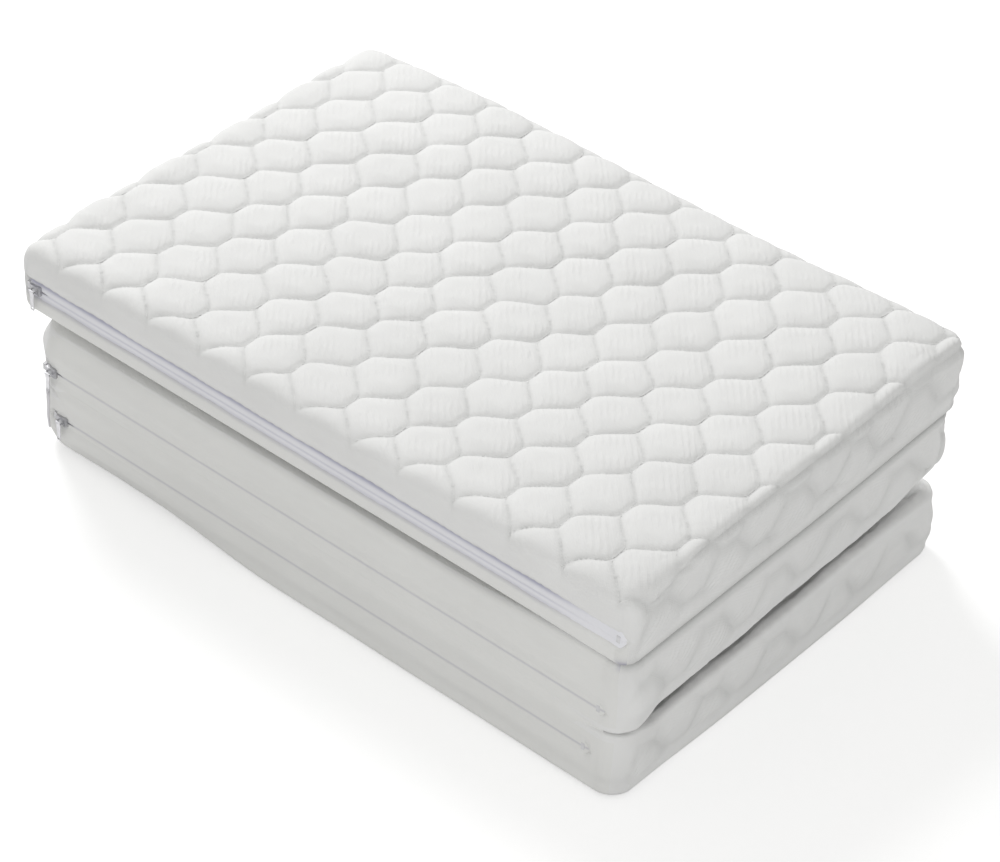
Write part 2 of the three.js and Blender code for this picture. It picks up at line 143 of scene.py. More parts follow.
@dataclass(frozen=True)
class Fold:
    """How the stack is folded, which places each panel.

    Attributes:
        thickness: One panel, to the quilting's peaks.
        half_gap: Half of the gap that a closed fold leaves.
        reach: From a panel's middle to a fold's axis.
        front_opening: Degrees that the front fold stands open.
        back_opening: Degrees that the back fold stands open.
    """

    thickness: float = 0.060
    half_gap: float = 0.0003
    reach: float = 0.2026
    front_opening: float = 2.2
    back_opening: float = 1.2

    def lower(self) -> Array:
        """The lower panel lies as it was drawn."""
        return np.eye(4)

    def middle(self) -> Array:
        """The middle panel is turned over on the front fold.

        Returns:
            The panel's matrix.
        """
        axis = self.thickness + self.half_gap
        lift = shift(-self.reach, axis) @ turn_about_x(self.front_opening)
        return lift @ shift(self.reach, axis) @ turn_about_x(180)

    def upper(self) -> Array:
        """The upper panel is turned back on the back fold.

        Returns:
            The panel's matrix.
        """
        axis = self.thickness + self.half_gap
        lift = shift(-self.reach, axis) @ turn_about_x(self.front_opening)
        back = shift(2 * self.reach, self.thickness + 2 * self.half_gap)
        return lift @ back @ turn_about_x(-self.back_opening) @ shift(-self.reach, self.half_gap)


def placed(points: Array, place: Array) -> Array:
    """Moves points from a panel's own frame to the shared one."""
    flat = points.reshape(-1, 3)
    return (flat @ place[:3, :3].T + place[:3, 3]).reshape(points.shape)


@dataclass(frozen=True)
class QuiltPattern:
    """Honeycomb cells between wavy rows of stitches that run across the panel.

    Attributes:
        cell: Width of a cell, along the panel.
        row: Distance between two rows of cells.
        start_u: Where a cell's middle lies along the panel.
        start_v: Where a row's middle lies across the panel.
        puff: Height of a cell over its stitches.
        shoulder: How far from the stitches a cell reaches its height.
        overdraw: Above 1, neighbouring rows of stitches run side by side for a while.
        wander: How far the stitching strays from the even pattern.
        softness: How much shallower the rows are drawn in where they lean to the left.
    """

    cell: float = 0.050
    row: float = 0.0384
    start_u: float = 0.013
    start_v: float = 0.0248
    puff: float = 0.0050
    shoulder: float = 0.0150
    overdraw: float = 1.25
    wander: float = 0.0020
    softness: float = 0.12

    def drawn(self, u: Array, v: Array) -> tuple[Array, Array]:
        """Where a place on the cloth lies in the even pattern, which the stitching strays from.

        Args:
            u: Places along the cloth.
            v: Places across the cloth.

        Returns:
            The place in the even pattern.
        """
        aside = self.wander * unevenness(u, v, 0.10, 3)
        along = self.wander * unevenness(u, v, 0.12, 4)
        return u + aside, v + along

    def half_width(self, v: Array) -> tuple[Array, Array]:
        """A cell's half width at v, and how fast it changes.

        Args:
            v: Place across the panel, along the cloth.

        Returns:
            The half width and its slope.
        """
        turn = np.pi * (np.asarray(v) - self.start_v) / self.row
        raw = self.overdraw * np.cos(turn)
        bound = (1 + np.abs(raw) ** 8) ** (1 / 8)
        slope = -self.overdraw * np.sin(turn) * np.pi / self.row / bound**9
        return self.cell / 4 * (1 + raw / bound), self.cell / 4 * slope

    def nearest(self, u: Array, v: Array) -> tuple[Array, Array, Array]:
        """Signed distance to the middle of the nearest cells, their half width and its slope.

        Args:
            u: Places along the cloth.
            v: Places across the cloth.

        Returns:
            Three values for each place.
        """
        u, v = self.drawn(u, v)
        near = np.mod(u - self.start_u + self.cell / 2, self.cell) - self.cell / 2
        return near, *self.half_width(v)

    def offset(self, u: Array, v: Array) -> Array:
        """Signed distance along u to the nearest row of stitches."""
        near, half, _ = self.nearest(u, v)
        return (np.abs(near) - half) * np.sign(near)

    def distance(self, u: Array, v: Array) -> Array:
        """Distance to the nearest row of stitches."""
        near, half, slope = self.nearest(u, v)
        return np.abs(np.abs(near) - half) / np.sqrt(1 + slope**2)

    def cell_number(self, u: Array, v: Array) -> Array:
        """A number from 0 to 1 that stays the same within one cell.

        Args:
            u: Places along the cloth.
            v: Places across the cloth.

        Returns:
            One number for each place.
        """
        near, half, _ = self.nearest(u, v)
        u, v = self.drawn(u, v)
        column = np.floor((u - self.start_u) / self.cell + 0.5)
        inside = np.abs(near) < half
        column = np.where(inside, column, column + np.where(near > 0, 0.5, -0.5))
        rows = (v - self.start_v) / self.row
        line = np.where(inside, np.round(rows / 2) * 2, np.floor(rows / 2) * 2 + 1)
        return np.mod(np.abs(np.sin(column * 12.9898 + line * 78.233) * 43758.5453), 1)

    def neighbours(self, u: Array, v: Array) -> list[tuple[Array, Array]]:
        """The rows of stitches on either side of a place: distance, and depth from 0 to 1.

        Args:
            u: Places along the cloth.
            v: Places across the cloth.

        Returns:
            Distance and depth for the right and the left row.
        """
        near, half, slope = self.nearest(u, v)
        inside, beyond = np.abs(near) < half, near > 0
        right = np.where(beyond, near - half, near + self.cell - half)
        left = np.where(beyond, self.cell - half - near, -near - half)
        scale = np.sqrt(1 + slope**2)
        right, left = np.where(inside, half - near, right), np.where(inside, half + near, left)
        depths = [1 - self.softness * smooth(-lean, 0.1, 0.9) for lean in (slope, -slope)]
        return list(zip((right / scale, left / scale), depths))

    def height(self, u: Array, v: Array) -> Array:
        """Height of the cloth over its stitches.

        Args:
            u: Places along the cloth.
            v: Places across the cloth.

        Returns:
            The heights.
        """
        full = 0.78 + 0.26 * self.cell_number(u, v)
        for away, depth in self.neighbours(u, v):
            rise = np.clip(away / self.shoulder, 0, 1)
            dome = 0.25 * rise + 0.75 * np.sqrt(1 - (1 - rise) ** 2)
            full = full * (1 - depth * (1 - dome))
        return self.puff * full

    def painted_shade(self, u: Array, v: Array, width: Array | float = 0.002) -> Array:
        """How much painted shade a place takes along the stitched rows, from 0 to 1."""
        rows = self.neighbours(u, v)
        return np.maximum(*[depth**2 * np.exp(-((away / width) ** 2)) for away, depth in rows])

    def rows(self, low: float, high: float) -> list[tuple[float, int]]:
        """The rows of stitches between two places along the panel.

        Args:
            low: Lowest place along the panel.
            high: Highest place along the panel.

        Returns:
            The middle of the cells that each row bounds, and the side on which it lies.
        """
        first = math.floor((low - self.start_u) / self.cell) - 1
        last = math.ceil((high - self.start_u) / self.cell) + 1
        return [
            (self.start_u + self.cell * number, side)
            for number in range(first, last + 1)
            for side in (-1, 1)
        ]


@dataclass
class ZipSizes:
    """Where a panel's zip lies and how large it is.

    Attributes:
        height: From the underside to the middle of the zip.
        opening: Between the two lips of the cover.
        length: Length of the coil.
        softness: How far from the zip the wall starts to sink towards it.
        side: Face.FRONT or Face.BACK of the panel in its own frame.
        parked: Where the slider stands.
        hidden: Whether the cover's plain cloth lies over the tapes.
        lip_shade: How dark the painted shade along the lips shows, most at the upper lip, from 0 to 1.
        lip_wave: How far the lips run out of line.
        line_wave: How far the slit runs out of line.
        lip_depth: How far the lips lie behind the wall.
        tape_depth: How far the tapes lie behind it.
        tape_thickness: Thickness of a tape.
        coil_front: How far the coil lies behind the wall.
        coil_depth: Size of the coil, inward.
        coil_height: Size of the coil, upward.
        channel_depth: Depth of the channel in the wall.
    """

    height: float
    opening: float
    length: float
    softness: float
    side: Face
    parked: float
    hidden: bool = True
    lip_shade: float = 0.0
    lip_wave: float = 0.0
    line_wave: float = 0.00035
    lip_depth: float = 0.0015
    tape_depth: float = 0.00168
    tape_thickness: float = 0.00014
    coil_front: float = 0.0019
    coil_depth: float = 0.0021
    coil_height: float = 0.005
    channel_depth: float = 0.0047

    @property
    def sign(self) -> int:
        """Which way is out of the wall, across the panel."""
        return self.side.value


EdgeField = Callable[[Array, Array], Array]


def constant(value: float) -> EdgeField:
    """A size that is the same all round."""
    return lambda x, y: np.full(np.broadcast(x, y).shape, value)


@dataclass
class PanelShape:
    """The outer shape of one panel, in its own frame, quilted side up.

    Attributes:
        name: First word of the panel's pieces, and of its body.
        zip: The panel's zip.
        corners: Corner radii: front left, front right, back right, back left.
        top_inset: How far from the edge the quilted side starts to roll over.
        top_drop: How far down that roll reaches.
        base_inset: The same for the underside.
        base_rise: How far up that roll reaches.
        crown: Added to the height of the quilted side.
        sag: Added to the height of the underside, and never below its neighbour.
        front_quilted: Whether the quilting rolls down to the zip.
        nap: Seed of the panel's own unevenness.
        length: Length of the cover.
        width: Width of the cover.
        thickness: Height of the quilting's peaks over the underside.
        squareness: 2 for round edges, more for squarer ones.
        centre: Where the cover's middle lies along the panel.
        top_limit: Highest that the quilted side may reach.
        seam: Depth of the sewn groove along the quilted side's edge.
        wall_relief: Share of the quilting's height on the wall away from the zip.
        under_shade: How dark the painted shade along the underside's edge shows at the right end.
    """

    name: str
    zip: ZipSizes
    corners: tuple[float, float, float, float]
    top_inset: EdgeField
    top_drop: EdgeField
    base_inset: EdgeField
    base_rise: EdgeField
    crown: EdgeField
    sag: EdgeField
    nap: int
    front_quilted: bool = False
    length: float = 0.600
    width: float = 0.400
    thickness: float = 0.060
    squareness: float = 2.3
    centre: float = 0.0
    top_limit: float = 0.0601
    seam: EdgeField = field(default_factory=lambda: constant(0.0))
    wall_relief: float = 1.0
    under_shade: float = 2.2


@dataclass
class PanelCover:
    """One panel's zipped cover over its foam, as a closed padded piece.

    Its surface is a grid over the quilted side, rows round the walls and a coarser grid under it.

    Attributes:
        shape: The panel's outer shape.
        pattern: The quilting.
        place: Matrix from the panel's frame to the shared one.
        columns: Cells of the grid, along the panel.
        lines: Cells of the grid, across the panel.
        coarse: How many of them one cell of the underside spans.
        inset: How far inside the outline the grid ends.
        base_margin: The same for the underside's grid.
        row_counts: Rows of the wall's runs: roll, upper lip, channel in three, lower lip, roll.
        path_steps: Steps in which a roll is drawn, and the straight wall next to it.
        least_gap: Half of the opening where the zip is shut.
        plain_height: Where the plain wall ends on the zip's side, over the underside.
        voxel: Size of the even cells that settle as cloth.
        frames: How long they settle.
        most_moved: The most that a point moves then.
        looseness: Share of that movement along the panel, across it and upward.
        stitch_lift: How far the stitches lie over the cloth.
        least_quilt: How much quilting a stitch needs under it.
        least_stitches: Points of the shortest row of stitches.
    """

    shape: PanelShape
    pattern: QuiltPattern
    place: Array
    columns: int = 288
    lines: int = 192
    coarse: int = 3
    inset: float = 0.006
    base_margin: float = 0.012
    row_counts: tuple[int, ...] = (13, 5, 2, 2, 2, 5, 10)
    path_steps: tuple[int, int] = (60, 20)
    least_gap: float = 0.0006
    plain_height: float = 0.0535
    voxel: float = 0.0075
    frames: int = 20
    most_moved: float = 0.005
    looseness: tuple[float, float, float] = (0.4, 0.5, 1.0)
    stitch_lift: float = 0.00012
    least_quilt: float = 0.75
    least_stitches: int = 8

    def __post_init__(self) -> None:
        """Works out what the sizes lead to."""
        self.sign = self.shape.zip.sign
        self.half = np.array([self.shape.length / 2, self.shape.width / 2])
        self.quads, self.triangles, self.marks = self.faces()

    def corner_radius(self, x: Array, y: Array) -> Array:
        """The radius of the corner nearest to a point.

        Args:
            x: Places along the panel.
            y: Places across the panel.

        Returns:
            The radii.
        """
        front_left, front_right, back_right, back_left = self.shape.corners
        left = x < self.shape.centre
        front = np.where(left, front_left, front_right)
        back = np.where(left, back_left, back_right)
        return np.where(y < 0, front, back)

    def corner_inset(self, x: Array, side: int) -> Array:
        """How far a rounded corner draws a long side in, at places along the panel.

        Args:
            x: Places along the panel.
            side: -1 for the front and 1 for the back.

        Returns:
            One distance for each place.
        """
        radius = self.corner_radius(x, np.full_like(x, side))
        past = np.abs(x - self.shape.centre) - (self.half[0] - radius)
        return radius - np.sqrt(radius**2 - np.clip(past, 0, radius) ** 2)

    def depth_in(self, x: Array, y: Array) -> Array:
        """Distance from the outline to a point inside it.

        Args:
            x: Places along the panel.
            y: Places across the panel.

        Returns:
            The distances.
        """
        radius = self.corner_radius(x, y)
        dx = np.abs(x - self.shape.centre) - (self.half[0] - radius)
        dy = np.abs(y) - (self.half[1] - radius)
        inside_corner = np.hypot(np.maximum(dx, 0), np.maximum(dy, 0))
        both = (dx > 0) & (dy > 0)
        return np.where(both, radius - inside_corner, radius - np.maximum(dx, dy))

    def plan_grid(self, columns: int, lines: int, inset: float) -> Array:
        """A square grid that is rounded at its corners.

        Args:
            columns: Cells along the panel.
            lines: Cells across the panel.
            inset: How far inside the outline the grid ends.

        Returns:
            Points of the grid, lines first.
        """
        x, y = np.meshgrid(
            np.linspace(-1, 1, columns + 1) * (self.half[0] - inset),
            np.linspace(-1, 1, lines + 1) * (self.half[1] - inset),
        )
        radius = self.corner_radius(x + self.shape.centre, y) - inset
        dx = np.abs(x) - (self.half[0] - inset - radius)
        dy = np.abs(y) - (self.half[1] - inset - radius)
        both = (dx > 0) & (dy > 0)
        reach = np.where(both, np.hypot(dx, dy), 1)
        scale = np.where(both, np.maximum(dx, dy) / reach, 1)
        edge_x = self.half[0] - inset - radius
        edge_y = self.half[1] - inset - radius
        x = np.where(both, np.sign(x) * (edge_x + dx * scale), x)
        y = np.where(both, np.sign(y) * (edge_y + dy * scale), y)
        return np.stack([x + self.shape.centre, y], axis=-1)

    @staticmethod
    def rim(grid: Array) -> Array:
        """The grid's outer points, anticlockwise from its first corner."""
        return np.concatenate([grid[0, :-1], grid[:-1, -1], grid[-1, :0:-1], grid[:0:-1, 0]])

    def rim_normals(self, rim: Array) -> Array:
        """Outward directions of the outline's points.

        Args:
            rim: The outline's points.

        Returns:
            One direction for each point.
        """
        radius = self.corner_radius(rim[:, 0], rim[:, 1])
        local = rim - [self.shape.centre, 0]
        centre = np.sign(local) * (self.half - radius[:, None])
        away = local - centre
        outside = (np.abs(local) - np.abs(centre)) > 1e-9
        away = np.where(outside, away, 0)
        straight = ~outside.all(axis=1)
        away[straight & outside[:, 0]] *= [1, 0]
        away[straight & outside[:, 1]] *= [0, 1]
        return away / np.linalg.norm(away, axis=1)[:, None]

    def roll(self, depth: Array, inset: Array, drop: Array) -> Array:
        """How far an edge has rolled down at a depth inside the outline.

        Args:
            depth: Distances in from the outline.
            inset: Where the roll starts.
            drop: How far it reaches.

        Returns:
            The distances down.
        """
        power = self.shape.squareness
        share = np.clip((inset - depth) / inset, 0, 1)
        return drop * (1 - (1 - share**power) ** (1 / power))

    def beside_zip(self, y: Array, start: float, end: float) -> Array:
        """Rises to 1 on the zipped side, between two distances from its wall."""
        return smooth(self.sign * y, self.half[1] - start, self.half[1] - end)

    def borders(self, x: Array, y: Array) -> tuple[Array, Array]:
        """Where the quilting gives way to plain cloth.

        Args:
            x: Places along the panel.
            y: Places across the panel.

        Returns:
            A share for the border on the zip's side, and one for the borders of the ends.
        """
        if self.shape.front_quilted:
            return 0 * (x + y), 0 * (x + y)
        away = np.abs(x - self.shape.centre)
        at_ends = 0.9 * smooth(away, self.half[0] - 0.018, self.half[0] - 0.006)
        return self.beside_zip(y, 0.020, 0.005), at_ends

    def top_height(self, x: Array, y: Array, depth: Array) -> Array:
        """Height of the quilted side before its quilting.

        Args:
            x: Places along the panel.
            y: Places across the panel.
            depth: Distances in from the outline.

        Returns:
            The heights.
        """
        shape = self.shape
        border = np.maximum(*self.borders(x, y))
        full = shape.thickness - self.pattern.puff * (1 - 0.9 * border) + shape.crown(x, y)
        return full - self.roll(depth, shape.top_inset(x, y), shape.top_drop(x, y))

    def base_height(self, x: Array, y: Array, depth: Array) -> Array:
        """Height of the underside.

        Args:
            x: Places along the panel.
            y: Places across the panel.
            depth: Distances in from the outline.

        Returns:
            The heights.
        """
        shape = self.shape
        full = shape.sag(x, y)
        return full + self.roll(depth, shape.base_inset(x, y), shape.base_rise(x, y))

    def zip_gap(self, x: Array, y: Array) -> tuple[Array, Array]:
        """Half of the zip's opening at points of the outline, and where it is open.

        Args:
            x: Places along the panel.
            y: Places across the panel.

        Returns:
            Half of the opening, and a share that is 1 along the zip and 0 elsewhere.
        """
        size = self.shape.zip
        reach = size.length / 2
        share = self.beside_zip(y, 0.012, 0.003) * smooth(np.abs(x), reach + 0.0105, reach + 0.0045)
        half = size.opening / 2 + size.lip_wave * unevenness(x, 0 * x, 0.045, 61)
        return self.least_gap + (half - self.least_gap) * share, share

    def wall_rows(self, rim: Array, normals: Array, open_zip: bool) -> tuple[Array, Array]:
        """The rows of points from the quilted side's rim to the underside's.

        Args:
            rim: The outline at full size.
            normals: Its outward directions.
            open_zip: Whether the zip's channel is cut into the wall.

        Returns:
            Points by row, and for each the distance down the cloth from the rim.
        """
        size = self.shape.zip
        x, y = rim[:, 0], rim[:, 1]
        gap, share = self.zip_gap(x, y)
        upper, lower = size.height + gap, size.height - gap
        steps = np.linspace(0, 1, self.path_steps[0])[:, None]
        down = self.inset * (1 - np.sin(steps * np.pi / 2))
        top_z = self.top_height(x[None], y[None], down) + 0 * down
        up = self.inset * (1 - np.cos(steps * np.pi / 2))
        base_z = self.base_height(x[None], y[None], up) + 0 * up
        above = np.minimum(0.010, 0.7 * (top_z[-1] - upper))
        below = np.minimum(0.010, 0.7 * (lower - base_z[0]))
        count = self.path_steps[1]
        straight = np.zeros((count, len(x)))
        top_path = self.resample(
            np.concatenate([down + 0 * top_z, straight]),
            np.concatenate([top_z, self.between(top_z[-1], upper + above, count)]),
            self.row_counts[0] + 1,
        )
        base_path = self.resample(
            np.concatenate([straight, up + 0 * base_z]),
            np.concatenate([self.between(lower - below, base_z[0], count)[:-1], base_z[:1], base_z]),
            self.row_counts[6] + 1,
        )
        depth_rows, height_rows = [top_path[0]], [top_path[1]]
        floor = size.channel_depth * share if open_zip else 0 * share
        lip = size.lip_depth * share

        def sunk(z: Array) -> Array:
            """Depth of the wall at heights near the zip.

            Args:
                z: Heights over the underside.

            Returns:
                The depths.
            """
            away = np.abs(z - size.height) - gap
            reach = np.where(z > size.height, above, below)
            return lip * smooth(away, np.minimum(size.softness, reach), 0)

        def add(depth: Array, z: Array) -> None:
            """Adds one run of rows."""
            depth_rows.append(depth[1:])
            height_rows.append(z[1:])

        run = self.between(upper + above, upper, self.row_counts[1] + 1)
        add(sunk(run), run)
        edge = self.least_gap * share + self.least_gap / 2 * (1 - share)
        steps = np.linspace(0, 1, self.row_counts[2] + 1)[:, None]
        add(lip + (floor - lip) * steps if open_zip else lip + 0 * steps, upper - edge * steps)
        run = self.between(upper - edge, lower + edge, self.row_counts[3] + 1)
        add((floor if open_zip else lip) + 0 * run, run)
        add(floor + (lip - floor) * steps if open_zip else lip + 0 * steps, lower + edge * (1 - steps))
        run = self.between(lower, lower - below, self.row_counts[5] + 1)
        add(sunk(run), run)
        add(base_path[0], base_path[1])
        depth = np.concatenate(depth_rows)
        height = np.concatenate(height_rows)
        plan = rim[None] - normals[None] * depth[..., None]
        points = np.concatenate([plan, height[..., None]], axis=-1)
        run_down = np.abs(np.diff(height, axis=0, prepend=height[:1]))
        run_in = np.abs(np.diff(np.minimum(depth, self.inset), axis=0, prepend=depth[:1]))
        fall = np.hypot(run_down, np.where(np.arange(len(depth))[:, None] <= self.row_counts[0], run_in, 0))
        return points, np.cumsum(fall, axis=0)

    @staticmethod
    def between(start: Array, end: Array, count: int) -> Array:
        """Values from start to end, one row each."""
        return start + (end - start) * np.linspace(0, 1, count)[:, None]

    @staticmethod
    def resample(depth: Array, height: Array, count: int) -> tuple[Array, Array]:
        """Spreads points evenly along each of many paths.

        Args:
            depth: Depths along the paths, one path to a column.
            height: Heights along the paths.
            count: Points that each path gets.

        Returns:
            The new depths and heights.
        """
        step = np.hypot(np.diff(depth, axis=0), np.diff(height, axis=0)) + 1e-9
        run = np.concatenate([np.zeros((1, depth.shape[1])), np.cumsum(step, axis=0)])
        run /= run[-1]
        wanted = np.linspace(0, 1, count)
        new_depth = np.empty((count, depth.shape[1]))
        new_height = np.empty_like(new_depth)
        for column in range(depth.shape[1]):
            new_depth[:, column] = np.interp(wanted, run[:, column], depth[:, column])
            new_height[:, column] = np.interp(wanted, run[:, column], height[:, column])
        return new_depth, new_height

    def lay_out(self, open_zip: bool) -> tuple[Array, Array]:
        """Lays out the whole surface.

        Args:
            open_zip: Whether the zip's channel is cut into the wall.

        Returns:
            All points of the surface, and their places on the cloth.
        """
        plan = self.plan_grid(self.columns, self.lines, self.inset)
        if open_zip:
            inner = plan[1:-1, 1:-1]
            pull = self.pattern.offset(inner[..., 0], inner[..., 1])
            spacing = self.half[0] / self.columns
            inner[..., 0] -= np.where(np.abs(pull) < spacing, pull, 0)
        x, y = plan[..., 0], plan[..., 1]
        top = np.dstack([x, y, self.top_height(x, y, self.depth_in(x, y))])
        rim = self.rim(plan)
        normals = self.rim_normals(rim)
        wall, fall = self.wall_rows(rim + normals * self.inset, normals, open_zip)
        wall_cloth = rim[None] + normals[None] * fall[..., None]
        coarse = self.plan_grid(self.columns // self.coarse, self.lines // self.coarse, self.base_margin)
        x, y = coarse[..., 0], coarse[..., 1]
        base = np.dstack([x, y, self.base_height(x, y, self.depth_in(x, y))])
        points = [part.reshape(-1, 3) for part in (top, wall[1:], base)]
        cloth = [part.reshape(-1, 2) for part in (plan, wall_cloth[1:], coarse)]
        return np.concatenate(points), np.concatenate(cloth)

    def faces(self) -> tuple[Array, Array, Array]:
        """The closed surface's faces.

        Returns:
            Quads, triangles, and for each quad its row on the wall, or its Row.
        """
        columns, lines = self.columns, self.lines
        number = np.arange((columns + 1) * (lines + 1)).reshape(lines + 1, columns + 1)
        ring = self.rim(number)
        around = len(ring)
        rows = sum(self.row_counts)
        first = number.size
        rings = [ring] + [first + around * row + np.arange(around) for row in range(rows)]
        quads = [self.grid_faces(number)]
        marks = [np.full(columns * lines, Row.TOP.value)]
        for row in range(rows):
            a, b = rings[row], rings[row + 1]
            quads.append(np.stack([a, b, np.roll(b, -1), np.roll(a, -1)], axis=1))
            marks.append(np.full(around, row))
        coarse = self.coarse
        first += around * rows
        under = first + np.arange((columns // coarse + 1) * (lines // coarse + 1))
        under = under.reshape(lines // coarse + 1, columns // coarse + 1)
        quads.append(self.grid_faces(under)[:, ::-1])
        marks.append(np.full(len(quads[-1]), Row.BASE.value))
        inner, outer = self.rim(under), rings[-1]
        a, b = inner, np.roll(inner, -1)
        f = [outer[0::coarse], outer[1::coarse], outer[2::coarse], np.roll(outer[0::coarse], -1)]
        fans = [(f[0], a, f[1]), (f[1], a, f[2]), (f[2], a, b), (f[2], b, f[3])]
        triangles = np.concatenate([np.stack(fan, axis=1) for fan in fans])
        return np.concatenate(quads), triangles, np.concatenate(marks)

    @staticmethod
    def grid_faces(number: Array) -> Array:
        """The quads of a grid of point numbers.

        Args:
            number: Numbers of the grid's points.

        Returns:
            Four point numbers for each quad.
        """
        return np.stack(
            [number[:-1, :-1], number[:-1, 1:], number[1:, 1:], number[1:, :-1]], axis=-1
        ).reshape(-1, 4)

    def split(self, points: Array) -> tuple[Array, Array]:
        """The top grid and the wall rows of a list of points, as views of it.

        Args:
            points: One row for each of the surface's points.

        Returns:
            The top grid and the wall rows.
        """
        top_size = (self.columns + 1) * (self.lines + 1)
        around = 2 * (self.columns + self.lines)
        rows = sum(self.row_counts)
        top = points[:top_size].reshape(self.lines + 1, self.columns + 1, -1)
        wall = points[top_size : top_size + rows * around].reshape(rows, around, -1)
        return top, wall

    def normals(self, points: Array) -> Array:
        """Outward directions at the points.

        Args:
            points: Points of the surface, in the panel's frame.

        Returns:
            One direction for each point.
        """
        total = np.zeros_like(points)
        for a, b, c in (self.quads.T[[0, 1, 2]], self.quads.T[[0, 2, 3]], self.triangles.T):
            normal = np.cross(points[b] - points[a], points[c] - points[a])
            for index in (a, b, c):
                for axis in range(3):
                    total[:, axis] += np.bincount(index, normal[:, axis], len(points))
        return total / (np.linalg.norm(total, axis=1)[:, None] + 1e-12)

    def settle(self) -> Array:
        """Lets the filled cover settle as cloth, and says how each point moves.

        Returns:
            One capped displacement for each point.
        """
        still = mesh_object(f"{self.shape.name}_settling", self.even, self.quads, self.triangles)
        remesh = still.modifiers.new("even", "REMESH")
        remesh.mode = "VOXEL"
        remesh.voxel_size = self.voxel
        apply_modifiers(still)
        cloth = still.modifiers.new("cloth", "CLOTH")
        for label, value in CLOTH_SETTINGS.items():
            setattr(cloth.settings, label, value)
        cloth.settings.effector_weights.gravity = 0.0
        rest = vertex_array(still.data)
        scene = bpy.context.scene
        for number in range(1, self.frames + 1):
            scene.frame_set(number)
        evaluated = still.evaluated_get(bpy.context.evaluated_depsgraph_get())
        moved = vertex_array(evaluated.data)
        scene.frame_set(1)
        bpy.data.objects.remove(still)
        move = moved - rest
        move -= move.mean(axis=0)
        size = np.linalg.norm(move, axis=1)[:, None] + 1e-9
        move *= np.minimum(1, self.most_moved / size)
        tree = KDTree(len(rest))
        for index, point in enumerate(rest):
            tree.insert(point, index)
        tree.balance()
        near = [tree.find_n(point, 4) for point in self.even]
        index, away = (np.array([[found[part] for found in group] for group in near]) for part in (1, 2))
        weight = 1 / (away + 0.002) ** 2
        weight /= weight.sum(axis=1)[:, None]
        return (move[index] * weight[..., None]).sum(axis=1)

    def quilt_share(self) -> Array:
        """How strongly the quilting shows at each point of the panel, as a share of its height.

        Returns:
            One share for each point.
        """
        shape = self.shape
        x, y, z = self.even.T
        share = smooth(z - shape.sag(x, y), 0.006, 0.022)
        if shape.front_quilted:
            lip = shape.zip.height + shape.zip.opening / 2
            share *= 1 - self.beside_zip(y, 0.012, 0.002) * (1 - smooth(z, lip + 0.010, lip + 0.031))
        plain_front, plain_end = self.borders(x, y)
        share *= (1 - plain_front) * (1 - plain_end * smooth(z, 0.036, 0.052))
        return share * (1 - 0.2 * self.end_share(x))

    def end_share(self, x: Array) -> Array:
        """1 on the two end walls and 0 elsewhere."""
        away = np.abs(x - self.shape.centre)
        return smooth(away, self.half[0] - 0.006, self.half[0] - 0.001)

    def seam_share(self) -> Array:
        """Where the groove along the quilted side's edge runs, from 0 to 1.

        Returns:
            One share for each point.
        """
        x, y, z = self.even.T
        edge = self.shape.thickness - self.pattern.puff + self.shape.crown(x, y)
        edge -= self.shape.top_drop(x, y)
        inside = self.depth_in(x, y)
        return np.exp(-((z - edge) ** 2 + inside**2) / 0.0021**2)

    def inside_cells(self) -> Array:
        """1 inside the quilting's cells and 0 at their stitches."""
        return smooth(self.pattern.distance(*self.cloth.T), 0.001, 0.005)

    def near_zip(self) -> Array:
        """1 next to the zip, which holds the cloth, and 0 away from it."""
        near = smooth(np.abs(self.even[:, 2] - self.shape.zip.height), 0.026, 0.014)
        return near * self.beside_zip(self.even[:, 1], 0.05, 0.02)

    def settled_share(self) -> Array:
        """How much of the settling a point takes: none at the zip, little on the flat faces.

        Returns:
            One share for each point.
        """
        x, y, z = self.even.T
        share = (1 - self.near_zip()) * (1 - 0.75 * smooth(self.depth_in(x, y), 0.0, 0.03))
        share *= smooth(z - self.shape.sag(x, y), 0.0, 0.014)
        return share * (1 - self.borders(x, y)[0] * smooth(z, 0.040, 0.046))

    def relief(self) -> Array:
        """Height of the quilting, with its fine folds and its sewn edge.

        Returns:
            A height outward for each point.
        """
        x, y, _ = self.even.T
        u, v = self.cloth.T
        streak = 0.755 * u + 0.655 * v
        fold = np.sin(2 * np.pi * streak / 0.0046 + 2.2 * unevenness(u, v, 0.02, 11))
        fold *= smooth(unevenness(u, v, 0.016, 12), -0.3, 1.0)
        relief = self.quilt * (self.pattern.height(u, v) + 0.00018 * fold * self.inside_cells())
        relief *= 1 - (1 - self.shape.wall_relief) * self.beside_zip(-y, 0.010, 0.001)
        groove, seam = self.shape.seam(x, y), self.seam_share()
        relief *= 1 - seam * (groove > 0)
        return relief - groove * seam

